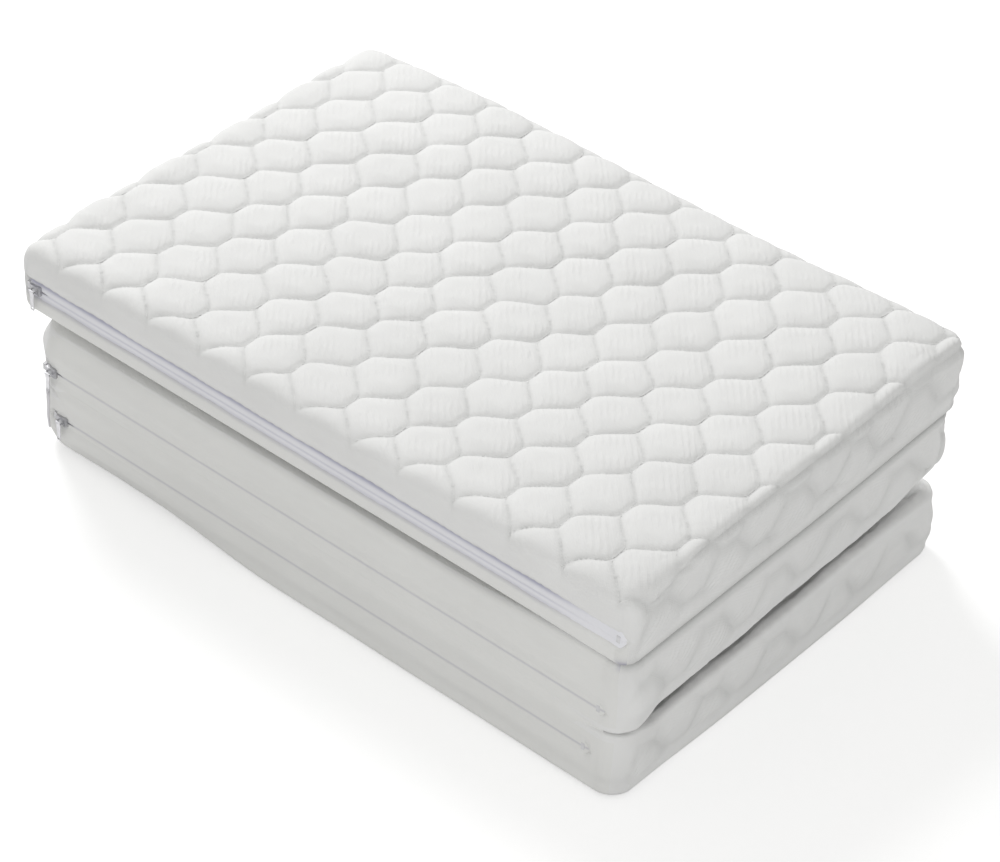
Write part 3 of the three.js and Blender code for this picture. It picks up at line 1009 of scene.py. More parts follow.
    def slack(self) -> Array:
        """How far the plain cloth stands off its even shape, and how it gathers at the lips.

        Returns:
            A height outward for each point.
        """
        shape, size = self.shape, self.shape.zip
        x, y, z = self.even.T
        u, v = self.cloth.T
        slack = unevenness(u, v, 0.07, shape.nap) * 0.00055 * (1 - self.quilt)
        slack += unevenness(u, v * 1.8, 0.022, shape.nap + 1) * 0.00016 * (1 - self.quilt)
        slack *= smooth(z - shape.sag(x, y), 0.0, 0.010)
        if not shape.front_quilted:
            on_zip_side = smooth(self.depth_in(x, y), 0.030, 0.006) * (np.abs(y) > 0.1)
            slack *= 1 - on_zip_side * smooth(z, 0.043, 0.048)
        away, near = np.abs(z - size.height), self.near_zip()
        if not size.hidden:
            gathered = np.sin(2 * np.pi * u / 0.009 + 3 * unevenness(u, v, 0.05, shape.nap + 2))
            slack += gathered * 0.0005 * smooth(np.abs(away - size.opening / 2), 0.009, 0.002) * near
        _, open_share = self.zip_gap(x, y)
        slack[(away < size.opening / 2 - 0.0004) & (open_share > 0.5)] = 0
        return slack * (1 - (1.0 if size.hidden else 0.7) * near)

    def painted_shading(self) -> Array:
        """Painted shade: how dark the stitched rows, the zip's lips, the sewn groove and the underside's
        edge at the right end are drawn.

        Returns:
            A share for each point, which may pass 1.
        """
        shape, size = self.shape, self.shape.zip
        x, y, z = self.even.T
        at_end = self.end_share(x)
        # Painted shade along the stitched rows, broader on the end walls.
        stitched = self.pattern.painted_shade(*self.cloth.T, 0.0020 + 0.0045 * at_end)
        stitched = stitched * self.quilt**2 * (1 + 0.3 * at_end)
        gap, open_share = self.zip_gap(x, y)
        # Painted shade along the lips of the zip, darkest at the upper lip.
        lips = np.exp(-(((np.abs(z - size.height) - gap - 0.0004) / 0.0014) ** 2))
        lips *= np.where(z > size.height, 2.2, 0.7) * smooth(x, 0.275, 0.215)
        # Painted shade in the sewn groove along the quilted side's edge.
        edge = 1.1 * self.seam_share() * (shape.seam(x, y) > 0)
        # Painted shade along the underside's edge at the right end, where the panels meet.
        under = np.exp(-(((z - shape.sag(x, y)) / 0.0045) ** 2)) * smooth(x, 0.286, 0.294)
        lines = [stitched, lips * open_share * size.lip_shade, edge, shape.under_shade * under]
        return np.maximum.reduce(lines)

    def build(self, cloths: list[bpy.types.Material]) -> bpy.types.Object:
        """Builds the cover's mesh in the shared frame.

        Args:
            cloths: The quilted and the plain cloth.

        Returns:
            The finished piece.
        """
        self.even, _ = self.lay_out(open_zip=False)
        points, self.cloth = self.lay_out(open_zip=True)
        self.quilt = self.quilt_share()
        points += self.settle() * self.settled_share()[:, None] * self.looseness
        outward = self.normals(points)
        points += outward * (self.relief() + self.slack())[:, None]
        self.keep_clear(points)
        world = placed(points, self.place)
        piece = mesh_object(f"{self.shape.name}_cover", world, self.quads, self.triangles)
        for material in cloths:
            piece.data.materials.append(material)
        self.choose_cloth(piece.data)
        store(piece.data, "cloth", np.column_stack([self.cloth, 0 * self.quilt]))
        # The painted shade is kept as an attribute that darkens the cloth's colour.
        store(piece.data, "painted_shade", self.painted_shading())
        store(piece.data, "pucker", self.quilt * self.inside_cells())
        finish_mesh(piece.data)
        self.stitched = (points + self.stitch_lift * outward, self.cloth, self.quilt[:, None])
        self.attach(piece)
        return piece

    def keep_clear(self, points: Array) -> None:
        """Holds the faces that lie on a neighbour inside the panel's thickness.

        Args:
            points: Points of the surface, in the panel's frame.
        """
        shape, height = self.shape, self.even[:, 2]
        top, under = height > shape.thickness / 2, height < shape.thickness / 2
        points[top, 2] = np.minimum(points[top, 2], shape.top_limit)
        lowest = shape.sag(points[under, 0], points[under, 1]) - 0.00005
        points[under, 2] = np.maximum(points[under, 2], lowest)
        if shape.wall_relief < 1:
            points[:, 1] = -self.sign * np.minimum(-self.sign * points[:, 1], self.half[1] + 0.0023)

    def choose_cloth(self, mesh: bpy.types.Mesh) -> None:
        """Gives each face its cloth: quilted above the seams, plain below them.

        Args:
            mesh: The mesh.
        """
        shape = self.shape
        centre = self.even[self.quads].mean(axis=1)
        on_zip_side = self.sign * centre[:, 1] > self.half[1] - 0.004
        seam = shape.zip.height if shape.front_quilted else self.plain_height
        plain = (centre[:, 2] < np.where(on_zip_side, seam, -1.0)) & (self.marks != Row.TOP.value)
        index = np.full(len(self.quads) + len(self.triangles), Cloth.PLAIN.value, np.int32)
        index[: len(self.quads)][~(plain | (self.marks == Row.BASE.value))] = Cloth.QUILTED.value
        mesh.polygons.foreach_set("material_index", index)

    def attach(self, piece: bpy.types.Object) -> None:
        """Lets the cover move with its panel and stand for the panel's cloth and foam.

        Args:
            piece: The cover.
        """
        name = self.shape.name
        parts = ("foam_core", "quilted_top", "base_cover", "zip_band")
        borders = ("back_border", "left_border", "right_border")
        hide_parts(*[f"{name}_{part}" for part in parts + borders])
        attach(piece, f"{name}_panel")

    def stitch_paths(self) -> list[Array]:
        """Paths of the quilting's stitches over the cover, in the shared frame.

        Returns:
            Points of each path.
        """
        tops, walls = zip(*(self.split(values) for values in self.stitched))
        front_rows = sum(self.row_counts[:2]) - 2 if self.shape.front_quilted else 3
        back = slice(self.columns + self.lines, 2 * self.columns + self.lines)
        cuts = [[part[row, : self.columns] for part in walls] for row in range(front_rows, -1, -1)]
        cuts += [[part[line] for part in tops] for line in range(self.lines + 1)]
        cuts += [[part[row, back][::-1] for part in walls] for row in range(12)]
        strips = []
        for points, cloth, quilt in cuts:
            u, v = self.pattern.drawn(cloth[:, 0], cloth[:, 1])
            strips.append((points, u, self.pattern.half_width(v)[0], quilt))
        paths: list[Array] = []
        for middle, side in self.pattern.rows(-HALF_LENGTH, HALF_LENGTH):
            path: list[Array] = []
            for points, u, half, quilt in strips:
                gap = u - (middle + side * half)
                crossing = np.nonzero((gap[:-1] <= 0) & (gap[1:] > 0))[0]
                if len(crossing) == 0 or quilt[crossing[0], 0] < self.least_quilt:
                    continue
                at = crossing[0]
                share = -gap[at] / (gap[at + 1] - gap[at])
                path.append(points[at] * (1 - share) + points[at + 1] * share)
            if len(path) > self.least_stitches:
                paths.append(placed(np.array(path), self.place))
        return paths


def vertex_array(mesh: bpy.types.Mesh) -> Array:
    """All points of a mesh.

    Args:
        mesh: The mesh.

    Returns:
        The points, one to a row.
    """
    points = np.empty(len(mesh.vertices) * 3, np.float32)
    mesh.vertices.foreach_get("co", points)
    return points.reshape(-1, 3).astype(float)


def linked(name: str, data: bpy.types.ID) -> bpy.types.Object:
    """Puts a mesh, a lamp or a camera into the scene as an object.

    Args:
        name: The object's name.
        data: The mesh, lamp or camera.

    Returns:
        The object.
    """
    made = bpy.data.objects.new(name, data)
    bpy.context.scene.collection.objects.link(made)
    return made


def mesh_object(name: str, points: Array, quads: Array, triangles: Array | None = None) -> bpy.types.Object:
    """Makes an object from arrays.

    Args:
        name: The object's name.
        points: Points in the shared frame.
        quads: Quads as point numbers.
        triangles: Triangles as point numbers, which come after the quads.

    Returns:
        The object, in the scene's collection.
    """
    if triangles is None:
        triangles = np.zeros((0, 3), int)
    mesh = bpy.data.meshes.new(name)
    mesh.vertices.add(len(points))
    mesh.vertices.foreach_set("co", np.ascontiguousarray(points, np.float32).ravel())
    corners = np.concatenate([quads.ravel(), triangles.ravel()]).astype(np.int32)
    mesh.loops.add(len(corners))
    mesh.loops.foreach_set("vertex_index", corners)
    four, three = len(quads), len(triangles)
    starts = np.concatenate([np.arange(four) * 4, four * 4 + np.arange(three) * 3])
    mesh.polygons.add(four + three)
    mesh.polygons.foreach_set("loop_start", starts.astype(np.int32))
    mesh.update(calc_edges=True)
    mesh.validate()
    return linked(name, mesh)


def finish_mesh(mesh: bpy.types.Mesh) -> None:
    """Shades a mesh smoothly."""
    mesh.polygons.foreach_set("use_smooth", np.ones(len(mesh.polygons), bool))
    mesh.update()


def store(mesh: bpy.types.Mesh, name: str, values: Array) -> None:
    """Keeps one value, or one vector, for each point of a mesh.

    Args:
        mesh: The mesh.
        name: The attribute's name.
        values: One value or vector for each point.
    """
    kind, key = ("FLOAT", "value") if values.ndim == 1 else ("FLOAT_VECTOR", "vector")
    attribute = mesh.attributes.new(name, kind, "POINT")
    attribute.data.foreach_set(key, values.astype(np.float32).ravel())


def apply_modifiers(target: bpy.types.Object) -> None:
    """Replaces an object's mesh by what its modifiers make of it.

    Args:
        target: The object.
    """
    bpy.context.view_layer.update()
    evaluated = target.evaluated_get(bpy.context.evaluated_depsgraph_get())
    made = bpy.data.meshes.new_from_object(evaluated)
    target.modifiers.clear()
    old = target.data
    target.data = made
    bpy.data.meshes.remove(old)


def ribbon_mesh(name: str, outer: Array, inner: Array) -> bpy.types.Object:
    """A closed strip between two grids of points.

    Args:
        name: The object's name.
        outer: Grid of the outer side, in rows.
        inner: Grid of the inner side, of the same size.

    Returns:
        The strip, with its faces outward.
    """
    rows, columns = outer.shape[:2]
    number = np.arange(rows * columns).reshape(rows, columns)
    back = number + rows * columns
    quads = [PanelCover.grid_faces(number), PanelCover.grid_faces(back)[:, ::-1]]
    ring, other = PanelCover.rim(number), PanelCover.rim(back)
    quads.append(np.stack([ring, other, np.roll(other, -1), np.roll(ring, -1)], axis=1))
    points = np.concatenate([outer.reshape(-1, 3), inner.reshape(-1, 3)])
    made = mesh_object(name, points, np.concatenate(quads))
    if signed_volume(made.data) < 0:
        made.data.flip_normals()
    finish_mesh(made.data)
    return made


def signed_volume(mesh: bpy.types.Mesh) -> float:
    """The volume inside a mesh, negative where its faces point inward.

    Args:
        mesh: The mesh.

    Returns:
        The volume.
    """
    mesh.calc_loop_triangles()
    corners = np.empty(len(mesh.loop_triangles) * 3, np.int32)
    mesh.loop_triangles.foreach_get("vertices", corners)
    a, b, c = vertex_array(mesh)[corners.reshape(-1, 3)].transpose(1, 0, 2)
    return float(np.einsum("ij,ij->i", a, np.cross(b, c)).sum() / 6)


class Graph:
    """A node tree that is put together in steps."""

    def __init__(self, tree: bpy.types.NodeTree) -> None:
        """Keeps the tree that the nodes go into."""
        self.tree = tree

    def node(self, kind: str, **settings: object) -> bpy.types.Node:
        """Adds a node.

        Args:
            kind: The node's type.
            **settings: A lower-case word sets the node's own choice of that name. Any other word is an
                input, with spaces as underscores or in_N for the one numbered N, that is set or linked.

        Returns:
            The new node.
        """
        made = self.tree.nodes.new(kind)
        for label, value in settings.items():
            number = label.removeprefix("in_")
            if label[0].islower() and not number.isdigit():
                setattr(made, label, value)
                continue
            socket = made.inputs[int(number) if number.isdigit() else label.replace("_", " ")]
            if isinstance(value, bpy.types.NodeSocket):
                self.tree.links.new(value, socket)
            else:
                socket.default_value = value
        return made

    def math(self, operation: str, first: object, second: object = 0.0) -> bpy.types.NodeSocket:
        """Adds a sum, product or the like, and gives its result."""
        return self.node("ShaderNodeMath", operation=operation, in_0=first, in_1=second).outputs[0]

    def sockets(self, way: str, values: dict[str, object]) -> None:
        """Gives a group its named sockets.

        Args:
            way: INPUT or OUTPUT.
            values: For each name a value, or the kind of socket where it has none.
        """
        for label, value in values.items():
            if isinstance(value, str):
                kind = value
            elif isinstance(value, tuple):
                kind = "Color" if len(value) == 4 else "Vector"
            else:
                kind = "Float"
            socket = self.tree.interface.new_socket(label, in_out=way, socket_type=f"NodeSocket{kind}")
            if not isinstance(value, str):
                socket.default_value = value


class Tree(Graph):
    """A geometry node tree with named inputs, used once and then turned into a plain mesh."""

    def __init__(self, name: str, inputs: dict[str, float]) -> None:
        """Starts the tree.

        Args:
            name: The tree's name.
            inputs: The named sizes and their values.
        """
        super().__init__(bpy.data.node_groups.new(name, "GeometryNodeTree"))
        self.sockets("INPUT", {"Geometry": "Geometry"} | inputs)
        self.sockets("OUTPUT", {"Geometry": "Geometry"})
        self.values = inputs
        self.given = self.node("NodeGroupInput").outputs

    def along(self, pitch: str) -> bpy.types.NodeSocket:
        """Points along the object's own edges, as far apart as the input with that name says.

        Args:
            pitch: The input's name.

        Returns:
            The socket of the points.
        """
        line = self.node("GeometryNodeMeshToCurve", Mesh=self.given["Geometry"]).outputs[0]
        spaced = self.node("GeometryNodeResampleCurve", mode="LENGTH", Curve=line, Length=self.given[pitch])
        return spaced.outputs[0]

    def run(
        self, target: bpy.types.Object, geometry: bpy.types.NodeSocket, material: bpy.types.Material
    ) -> None:
        """Ends the tree in real geometry, and keeps what it makes as an object's plain mesh.

        Args:
            target: The object whose edges the tree starts from.
            geometry: What the tree has made.
            material: The material of all of it.
        """
        real = self.node("GeometryNodeRealizeInstances", Geometry=geometry).outputs[0]
        dressed = self.node("GeometryNodeSetMaterial", Geometry=real, Material=material).outputs[0]
        self.node("NodeGroupOutput", Geometry=dressed)
        modifier = target.modifiers.new(self.tree.name, "NODES")
        modifier.node_group = self.tree
        for item in self.tree.interface.items_tree:
            if item.in_out == "INPUT" and item.name in self.values:
                modifier[item.identifier] = self.values[item.name]
        apply_modifiers(target)


def path_object(name: str, paths: list[Array]) -> bpy.types.Object:
    """An object of loose paths in the shared frame, with edges and no faces.

    Args:
        name: The object's name.
        paths: Points of each path.

    Returns:
        The object.
    """
    mesh = bpy.data.meshes.new(name)
    edges: list[tuple[int, int]] = []
    first = 0
    for path in paths:
        edges += [(first + step, first + step + 1) for step in range(len(path) - 1)]
        first += len(path)
    mesh.from_pydata(np.concatenate(paths).tolist(), edges, [])
    return linked(name, mesh)


@dataclass
class Stitching:
    """Rows of short stitches along paths.

    Attributes:
        pitch: From one stitch to the next.
        length: Length of a stitch.
        thread: Radius of the thread.
    """

    pitch: float = 0.0042
    length: float = 0.0034
    thread: float = 0.00028

    def sew(
        self, name: str, paths: list[Array], material: bpy.types.Material, body: str
    ) -> bpy.types.Object:
        """Sews along the paths.

        Args:
            name: Name of the piece.
            paths: Where the stitches run.
            material: The thread's material.
            body: The body that the stitches move with.

        Returns:
            The finished piece.
        """
        piece = path_object(name, paths)
        sizes = {"Pitch": self.pitch, "Stitch Length": self.length, "Thread Radius": self.thread}
        tree = Tree(f"{name}_tree", sizes)
        thread = tree.node(
            "GeometryNodeMeshCylinder",
            Vertices=5,
            Radius=tree.given["Thread Radius"],
            Depth=tree.given["Stitch Length"],
        )
        tangent = tree.node("GeometryNodeInputTangent").outputs[0]
        turn = tree.node("FunctionNodeAlignRotationToVector", axis="Z", Vector=tangent)
        rows = tree.node(
            "GeometryNodeInstanceOnPoints",
            Points=tree.along("Pitch"),
            Instance=thread.outputs["Mesh"],
            Rotation=turn.outputs[0],
        )
        tree.run(piece, rows.outputs[0], material)
        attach(piece, body)
        return piece


@dataclass
class ZipFastener:
    """A panel's zip: two tapes that nearly meet, the coil behind them, stops, slider and pull.

    Attributes:
        panel: First word of the panel's pieces.
        size: The zip's sizes.
        place: Matrix from the panel's frame to the shared one.
        cover: The cover that the zip closes.
        tooth_pitch: From one turn of the coil to the next.
        tooth_radius: Radius of the coil's thread.
        parting: How far the tapes part at the slider.
        parting_run: How far from the slider they part.
        run_on: How far the tapes run past the coil's right end.
        overlap: How far the upper tape laps over the lower one.
        hem: How far the tapes of a hidden zip reach past the opening.
        tape_grid: Points along a tape and across it.
    """

    panel: str
    size: ZipSizes
    place: Array
    cover: PanelCover
    tooth_pitch: float = 0.0018
    tooth_radius: float = 0.00055
    parting: float = 0.0012
    parting_run: float = 0.020
    run_on: float = 0.009
    overlap: float = 0.001
    hem: float = 0.0024
    tape_grid: tuple[int, int] = (186, 16)

    def at(self, x: Array, height: Array, depth: Array) -> Array:
        """Points on the zipped wall, in the shared frame.

        Args:
            x: Places along the zip.
            height: Heights over the zip's middle.
            depth: Depths behind the wall.

        Returns:
            The points.
        """
        x, height, depth = np.broadcast_arrays(x, height, depth)
        y = self.size.sign * (HALF_WIDTH - depth)
        return placed(np.stack([x, y, self.size.height + height], axis=-1), self.place)

    def build_tapes(self, material: bpy.types.Material) -> bpy.types.Object:
        """Builds the two tapes, which part in a V at the slider.

        Args:
            material: The tape's material.

        Returns:
            The piece that holds both tapes.
        """
        size = self.size
        end = size.length / 2 + self.run_on
        x = np.linspace(-size.length / 2, end, self.tape_grid[0])[None, :]
        across = np.linspace(0, 1, self.tape_grid[1])[:, None]
        part = self.parting * smooth(x, size.parked + self.parting_run, size.parked + 0.004)
        wave = size.line_wave * unevenness(x, 0 * x, 0.05, 71)
        wave = wave + 0.4 * size.line_wave * unevenness(x, 0 * x, 0.013, 72)
        gap = size.opening / 2
        outermost = gap + (self.hem if size.hidden else 0.0004 + size.lip_wave)
        corner = self.cover.corner_inset(x, size.sign)
        pieces = []
        for side in (-1, 1):
            inner = part + side * wave - (self.overlap if side > 0 else 0)
            height = inner + (outermost - inner) * across
            if size.hidden:
                wall = size.lip_depth * smooth(height - gap, size.softness, 0)
                wall += -0.00008 + 0.0003 * smooth(height, outermost - 0.0015, outermost)
                over = smooth(height, 0.002, gap + 0.001)
                depth = size.tape_depth + (wall - size.tape_depth) * over
                depth = depth + 0.001 * smooth(x, size.length / 2 + 0.003, end)
            else:
                ease = smooth(height, gap - 0.0022, gap + 0.0004)
                depth = size.tape_depth - 0.0001 * ease + 0 * x
            depth = depth + corner - 0.00002 * side
            outer = self.at(x, side * height, depth)
            inward = self.at(x, side * height, depth + size.tape_thickness)
            pieces.append(ribbon_mesh(f"{self.panel}_tape", outer, inward))
        piece = joined(f"{self.panel}_zip_tapes", pieces)
        piece.data.materials.append(material)
        local = placed(vertex_array(piece.data), np.linalg.inv(self.place))
        along, height = local[:, 0], local[:, 2] - size.height
        down = size.sign * (CLOTH_START - local[:, 2])
        store(piece.data, "cloth", np.column_stack([along, down, 0 * down]))
        # Painted shade lines on the tapes, kept as an attribute that darkens their colour.
        store(piece.data, "painted_shade", self.lines(along, height))
        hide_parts(f"{self.panel}_zip_tape_quilt_side", f"{self.panel}_zip_tape_base_side")
        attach(piece, f"{self.panel}_panel")
        return piece

    def lines(self, along: Array, height: Array) -> Array:
        """Painted shade on the tapes: a line along the slit of a hidden zip, and lines along the lips and
        the upper tape's lapping edge of an open one.

        Args:
            along: Places along the zip.
            height: Heights over its middle.

        Returns:
            A share for each place.
        """
        if self.size.hidden:
            # Painted shade: a dark line along the closed slit.
            return 0.75 * np.exp(-((height / 0.0010) ** 2))
        gap = self.size.opening / 2
        # Painted shade under both lips, and under the upper tape's lapping edge.
        lips = np.exp(-(((height - gap) / 0.0029) ** 2)) + 0.35 * np.exp(-(((height + gap) / 0.0021) ** 2))
        lips += 0.40 * np.exp(-(((height + 0.0016) / 0.0009) ** 2))
        return lips * smooth(along, 0.275, 0.215)

    def build_coil(self, material: bpy.types.Material) -> bpy.types.Object:
        """Builds the coil from its repeated turns.

        Args:
            material: The coil's material.

        Returns:
            The piece.
        """
        size = self.size
        ends = np.array([-size.length / 2 + 0.001, size.length / 2 - 0.001])
        line = self.at(ends, np.zeros(2), np.full(2, size.coil_front + size.coil_depth / 2))
        piece = path_object(f"{self.panel}_zip_teeth", [line])
        sizes = {
            "Tooth Pitch": self.tooth_pitch,
            "Tooth Radius": self.tooth_radius,
            "Half Height": size.coil_height / 4,
            "Coil Height": size.coil_height / 2 - 0.0001,
        }
        tree = Tree(f"{self.panel}_teeth_tree", sizes)
        spaced = tree.along("Tooth Pitch")
        radius, depth = tree.given["Tooth Radius"], tree.given["Coil Height"]
        tooth = tree.node("GeometryNodeMeshCylinder", Vertices=8, Radius=radius, Depth=depth)
        pair = tree.node("GeometryNodeJoinGeometry")
        for side in (-1, 1):
            half_step = tree.math("MULTIPLY", tree.given["Tooth Pitch"], 0.25 * side)
            aside = tree.math("MULTIPLY", tree.given["Half Height"], side)
            moved = tree.node(
                "GeometryNodeTransform",
                Geometry=tooth.outputs["Mesh"],
                Translation=tree.node("ShaderNodeCombineXYZ", X=half_step, Z=aside).outputs[0],
                Rotation=(0, math.radians(14) * side, 0),
            )
            tree.tree.links.new(moved.outputs[0], pair.inputs[0])
        teeth = tree.node("GeometryNodeInstanceOnPoints", Points=spaced, Instance=pair.outputs[0])
        tree.run(piece, teeth.outputs[0], material)
        finish_mesh(piece.data)
        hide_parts(f"{self.panel}_zip_coil")
        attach(piece, f"{self.panel}_panel")
        return piece

    def dress(self, slider: bpy.types.Material, pull: bpy.types.Material, stop: bpy.types.Material) -> None:
        """Gives the slider, the pull and the stops their finishes.

        Args:
            slider: The slider's finish.
            pull: The pull's finish.
            stop: The finish of both stops.
        """
        finishes = {"slider": slider, "pull": pull, "stop_left": stop, "stop_right": stop}
        for part, material in finishes.items():
            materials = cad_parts[f"{self.panel}_zip_{part}"].data.materials
            materials.clear()
            materials.append(material)


def joined(name: str, pieces: list[bpy.types.Object]) -> bpy.types.Object:
    """Joins closed pieces into one object, and removes them.

    Args:
        name: The object's name.
        pieces: The closed pieces.

    Returns:
        The joined object.
    """
    points, faces, first = [], [], 0
    for piece in pieces:
        points += [tuple(vertex.co) for vertex in piece.data.vertices]
        faces += [[first + corner for corner in face.vertices] for face in piece.data.polygons]
        first += len(piece.data.vertices)
        bpy.data.objects.remove(piece)
    mesh = bpy.data.meshes.new(name)
    mesh.from_pydata(points, [], faces)
    finish_mesh(mesh)
    return linked(name, mesh)


@dataclass
class FoldBand:
    """The band of plain cloth that spans a fold, from one panel's wall to the next one's.

    Attributes:
        name: Name of the piece.
        below: The cover of the panel below the fold, whose outline the band follows.
        above: The cover of the panel above it.
        level: Height of the fold in both panels' frames.
        inward: 1 where a wall rises from the fold, -1 where it drops from it.
        reach: How far the band reaches along each wall.
        ends: Where the band ends along the panels, left and right.
        bulge: How far the fold stands out of the walls.
        thickness: Thickness of the band.
        signs: Which side of each panel the fold is on, in the panel's own frame.
        grid: Points along the band, and across each of its halves.
    """

    name: str
    below: PanelCover
    above: PanelCover
    level: float
    inward: int
    reach: tuple[float, float]
    ends: tuple[float, float]
    bulge: float = 0.0026
    thickness: float = 0.0007
    signs: tuple[int, int] = (Face.FRONT.value, Face.BACK.value)
    grid: tuple[int, int] = (190, 12)

    def section(self, x: Array, out_shift: float) -> Array:
        """Grid of the band's points.

        Args:
            x: Places along the band.
            out_shift: Moves the surface in or out of the wall.

        Returns:
            Rows of points in the shared frame, from the lower wall to the upper one.
        """
        half = np.linspace(0, 1, self.grid[1])
        steps = np.concatenate([-np.linspace(1, 0, self.grid[1])[:-1], half])
        taper = smooth(x, self.ends[0], self.ends[0] + 0.03)
        taper = taper * smooth(x, self.ends[1], self.ends[1] - 0.04)
        rows = []
        for step in steps:
            side = 0 if step <= 0 else 1
            cover, sign = (self.below, self.above)[side], self.signs[side]
            run = abs(step) * self.reach[side]
            rise = (1 - smooth(run / self.reach[side], 0, 1)) * self.bulge
            soft = 0.0005 * unevenness(x, 0 * x + run * step, 0.06, 5) * (1 - abs(step)) * taper
            out = 0.00002 + rise * (0.12 + 0.88 * taper) + out_shift - np.abs(soft)
            out -= 0.0010 * smooth(abs(step), 0.89, 1.0)
            out = np.minimum(out, self.bulge - 0.0001)
            out -= cover.corner_inset(x, sign) + 0.0025 * (1 - taper)
            y = sign * (HALF_WIDTH + out)
            z = np.full_like(x, self.level + self.inward * run)
            rows.append(placed(np.stack([x, y, z], axis=-1), cover.place))
        return np.array(rows)

    def build(self, material: bpy.types.Material) -> bpy.types.Object:
        """Builds the band and bends it between its two panels.

        Args:
            material: The plain cloth.

        Returns:
            The finished piece.
        """
        x = np.linspace(*self.ends, self.grid[0])
        piece = ribbon_mesh(self.name, self.section(x, 0.0), self.section(x, -self.thickness))
        piece.data.materials.append(material)
        cloth = vertex_array(piece.data)[:, [0, 2, 1]] - [0, CLOTH_START, 0]
        store(piece.data, "cloth", cloth)
        store(piece.data, "painted_shade", np.zeros(len(piece.data.vertices)))
        store(piece.data, "pucker", np.zeros(len(piece.data.vertices)))
        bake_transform(piece)
        return piece


@dataclass
class PullRibbon:
    """The thin ribbon that hangs from the middle zip's pull.

    Attributes:
        width: Width of the ribbon.
        thickness: Thickness of its sewn double layer.
        loop: Half of the room that the loop has round the pull's end.
    """

    width: float = 0.0022
    thickness: float = 0.0007
    loop: float = 0.00075

    def build(self, material: bpy.types.Material) -> bpy.types.Object:
        """Builds the ribbon where its CAD node hangs.

        Args:
            material: The ribbon's material.

        Returns:
            The finished piece.
        """
        low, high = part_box("middle_pull_ribbon")
        centre = (low + high) / 2
        run = np.linspace(0, 1, 60)
        z = high.z + (low.z - high.z) * run
        spread = self.loop * smooth(run, 0.19, 0.06)
        sway = 0.0006 * np.sin(run * 7) * smooth(run, 0.1, 0.6)
        twist = 0.35 * np.sin(run * 4.5) * smooth(run, 0.15, 0.7)
        across = np.linspace(-0.5, 0.5, 5)
        layers = []
        for side in (-1, 1):
            offset = side * (self.thickness / 4 + spread)
            grid = np.empty((len(run), len(across), 3))
            for number, place in enumerate(across):
                grid[:, number, 0] = centre.x + place * self.width * np.cos(twist)
                grid[:, number, 1] = centre.y + offset + place * self.width * np.sin(twist) * 0.4
                grid[:, number, 2] = z
            grid[:, :, 0] += sway[:, None]
            half = np.array([0, side * self.thickness / 4, 0])
            layers.append(ribbon_mesh("ribbon_layer", grid + half, grid - half))
        piece = joined("middle_ribbon", layers)
        piece.data.materials.append(material)
        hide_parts("middle_pull_ribbon")
        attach(piece, "middle_pull")
        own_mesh(piece)
        return piece


class Shader(Graph):
    """A material that is put together from nodes."""

    def __init__(self, name: str, **values: object) -> None:
        """Starts a material.

        Args:
            name: The material's name.
            **values: What is the same all over, set on the shader itself.
        """
        self.material = bpy.data.materials.new(name)
        self.material.use_nodes = True
        super().__init__(self.material.node_tree)
        self.tree.nodes.clear()
        self.principled = self.node("ShaderNodeBsdfPrincipled", **values)
        self.node("ShaderNodeOutputMaterial", Surface=self.principled.outputs[0])

    def attribute(self, name: str, output: str) -> bpy.types.NodeSocket:
        """Reads one of the piece's own attributes."""
        return self.node("ShaderNodeAttribute", attribute_name=name).outputs[output]

    def drive(self, socket: str, source: bpy.types.NodeSocket) -> None:
        """Links a value that changes over the surface to the shader."""
        self.tree.links.new(source, self.principled.inputs[socket])

    def bump(self, height: bpy.types.NodeSocket, distance: float) -> None:
        """Feeds a height to the shader's normal."""
        made = self.node("ShaderNodeBump", Strength=1.0, Distance=distance, Height=height)
        self.drive("Normal", made.outputs[0])


def seen_directly(graph: Graph) -> bpy.types.NodeSocket:
    """1 for what the camera, mirrors and glass show, and 0 for light on its way round.

    Args:
        graph: The tree that the nodes go into.

    Returns:
        The value's socket.
    """
    path = graph.node("ShaderNodeLightPath").outputs
    seen = graph.math("MAXIMUM", path["Is Camera Ray"], path["Is Glossy Ray"])
    return graph.math("MAXIMUM", seen, path["Is Transmission Ray"])


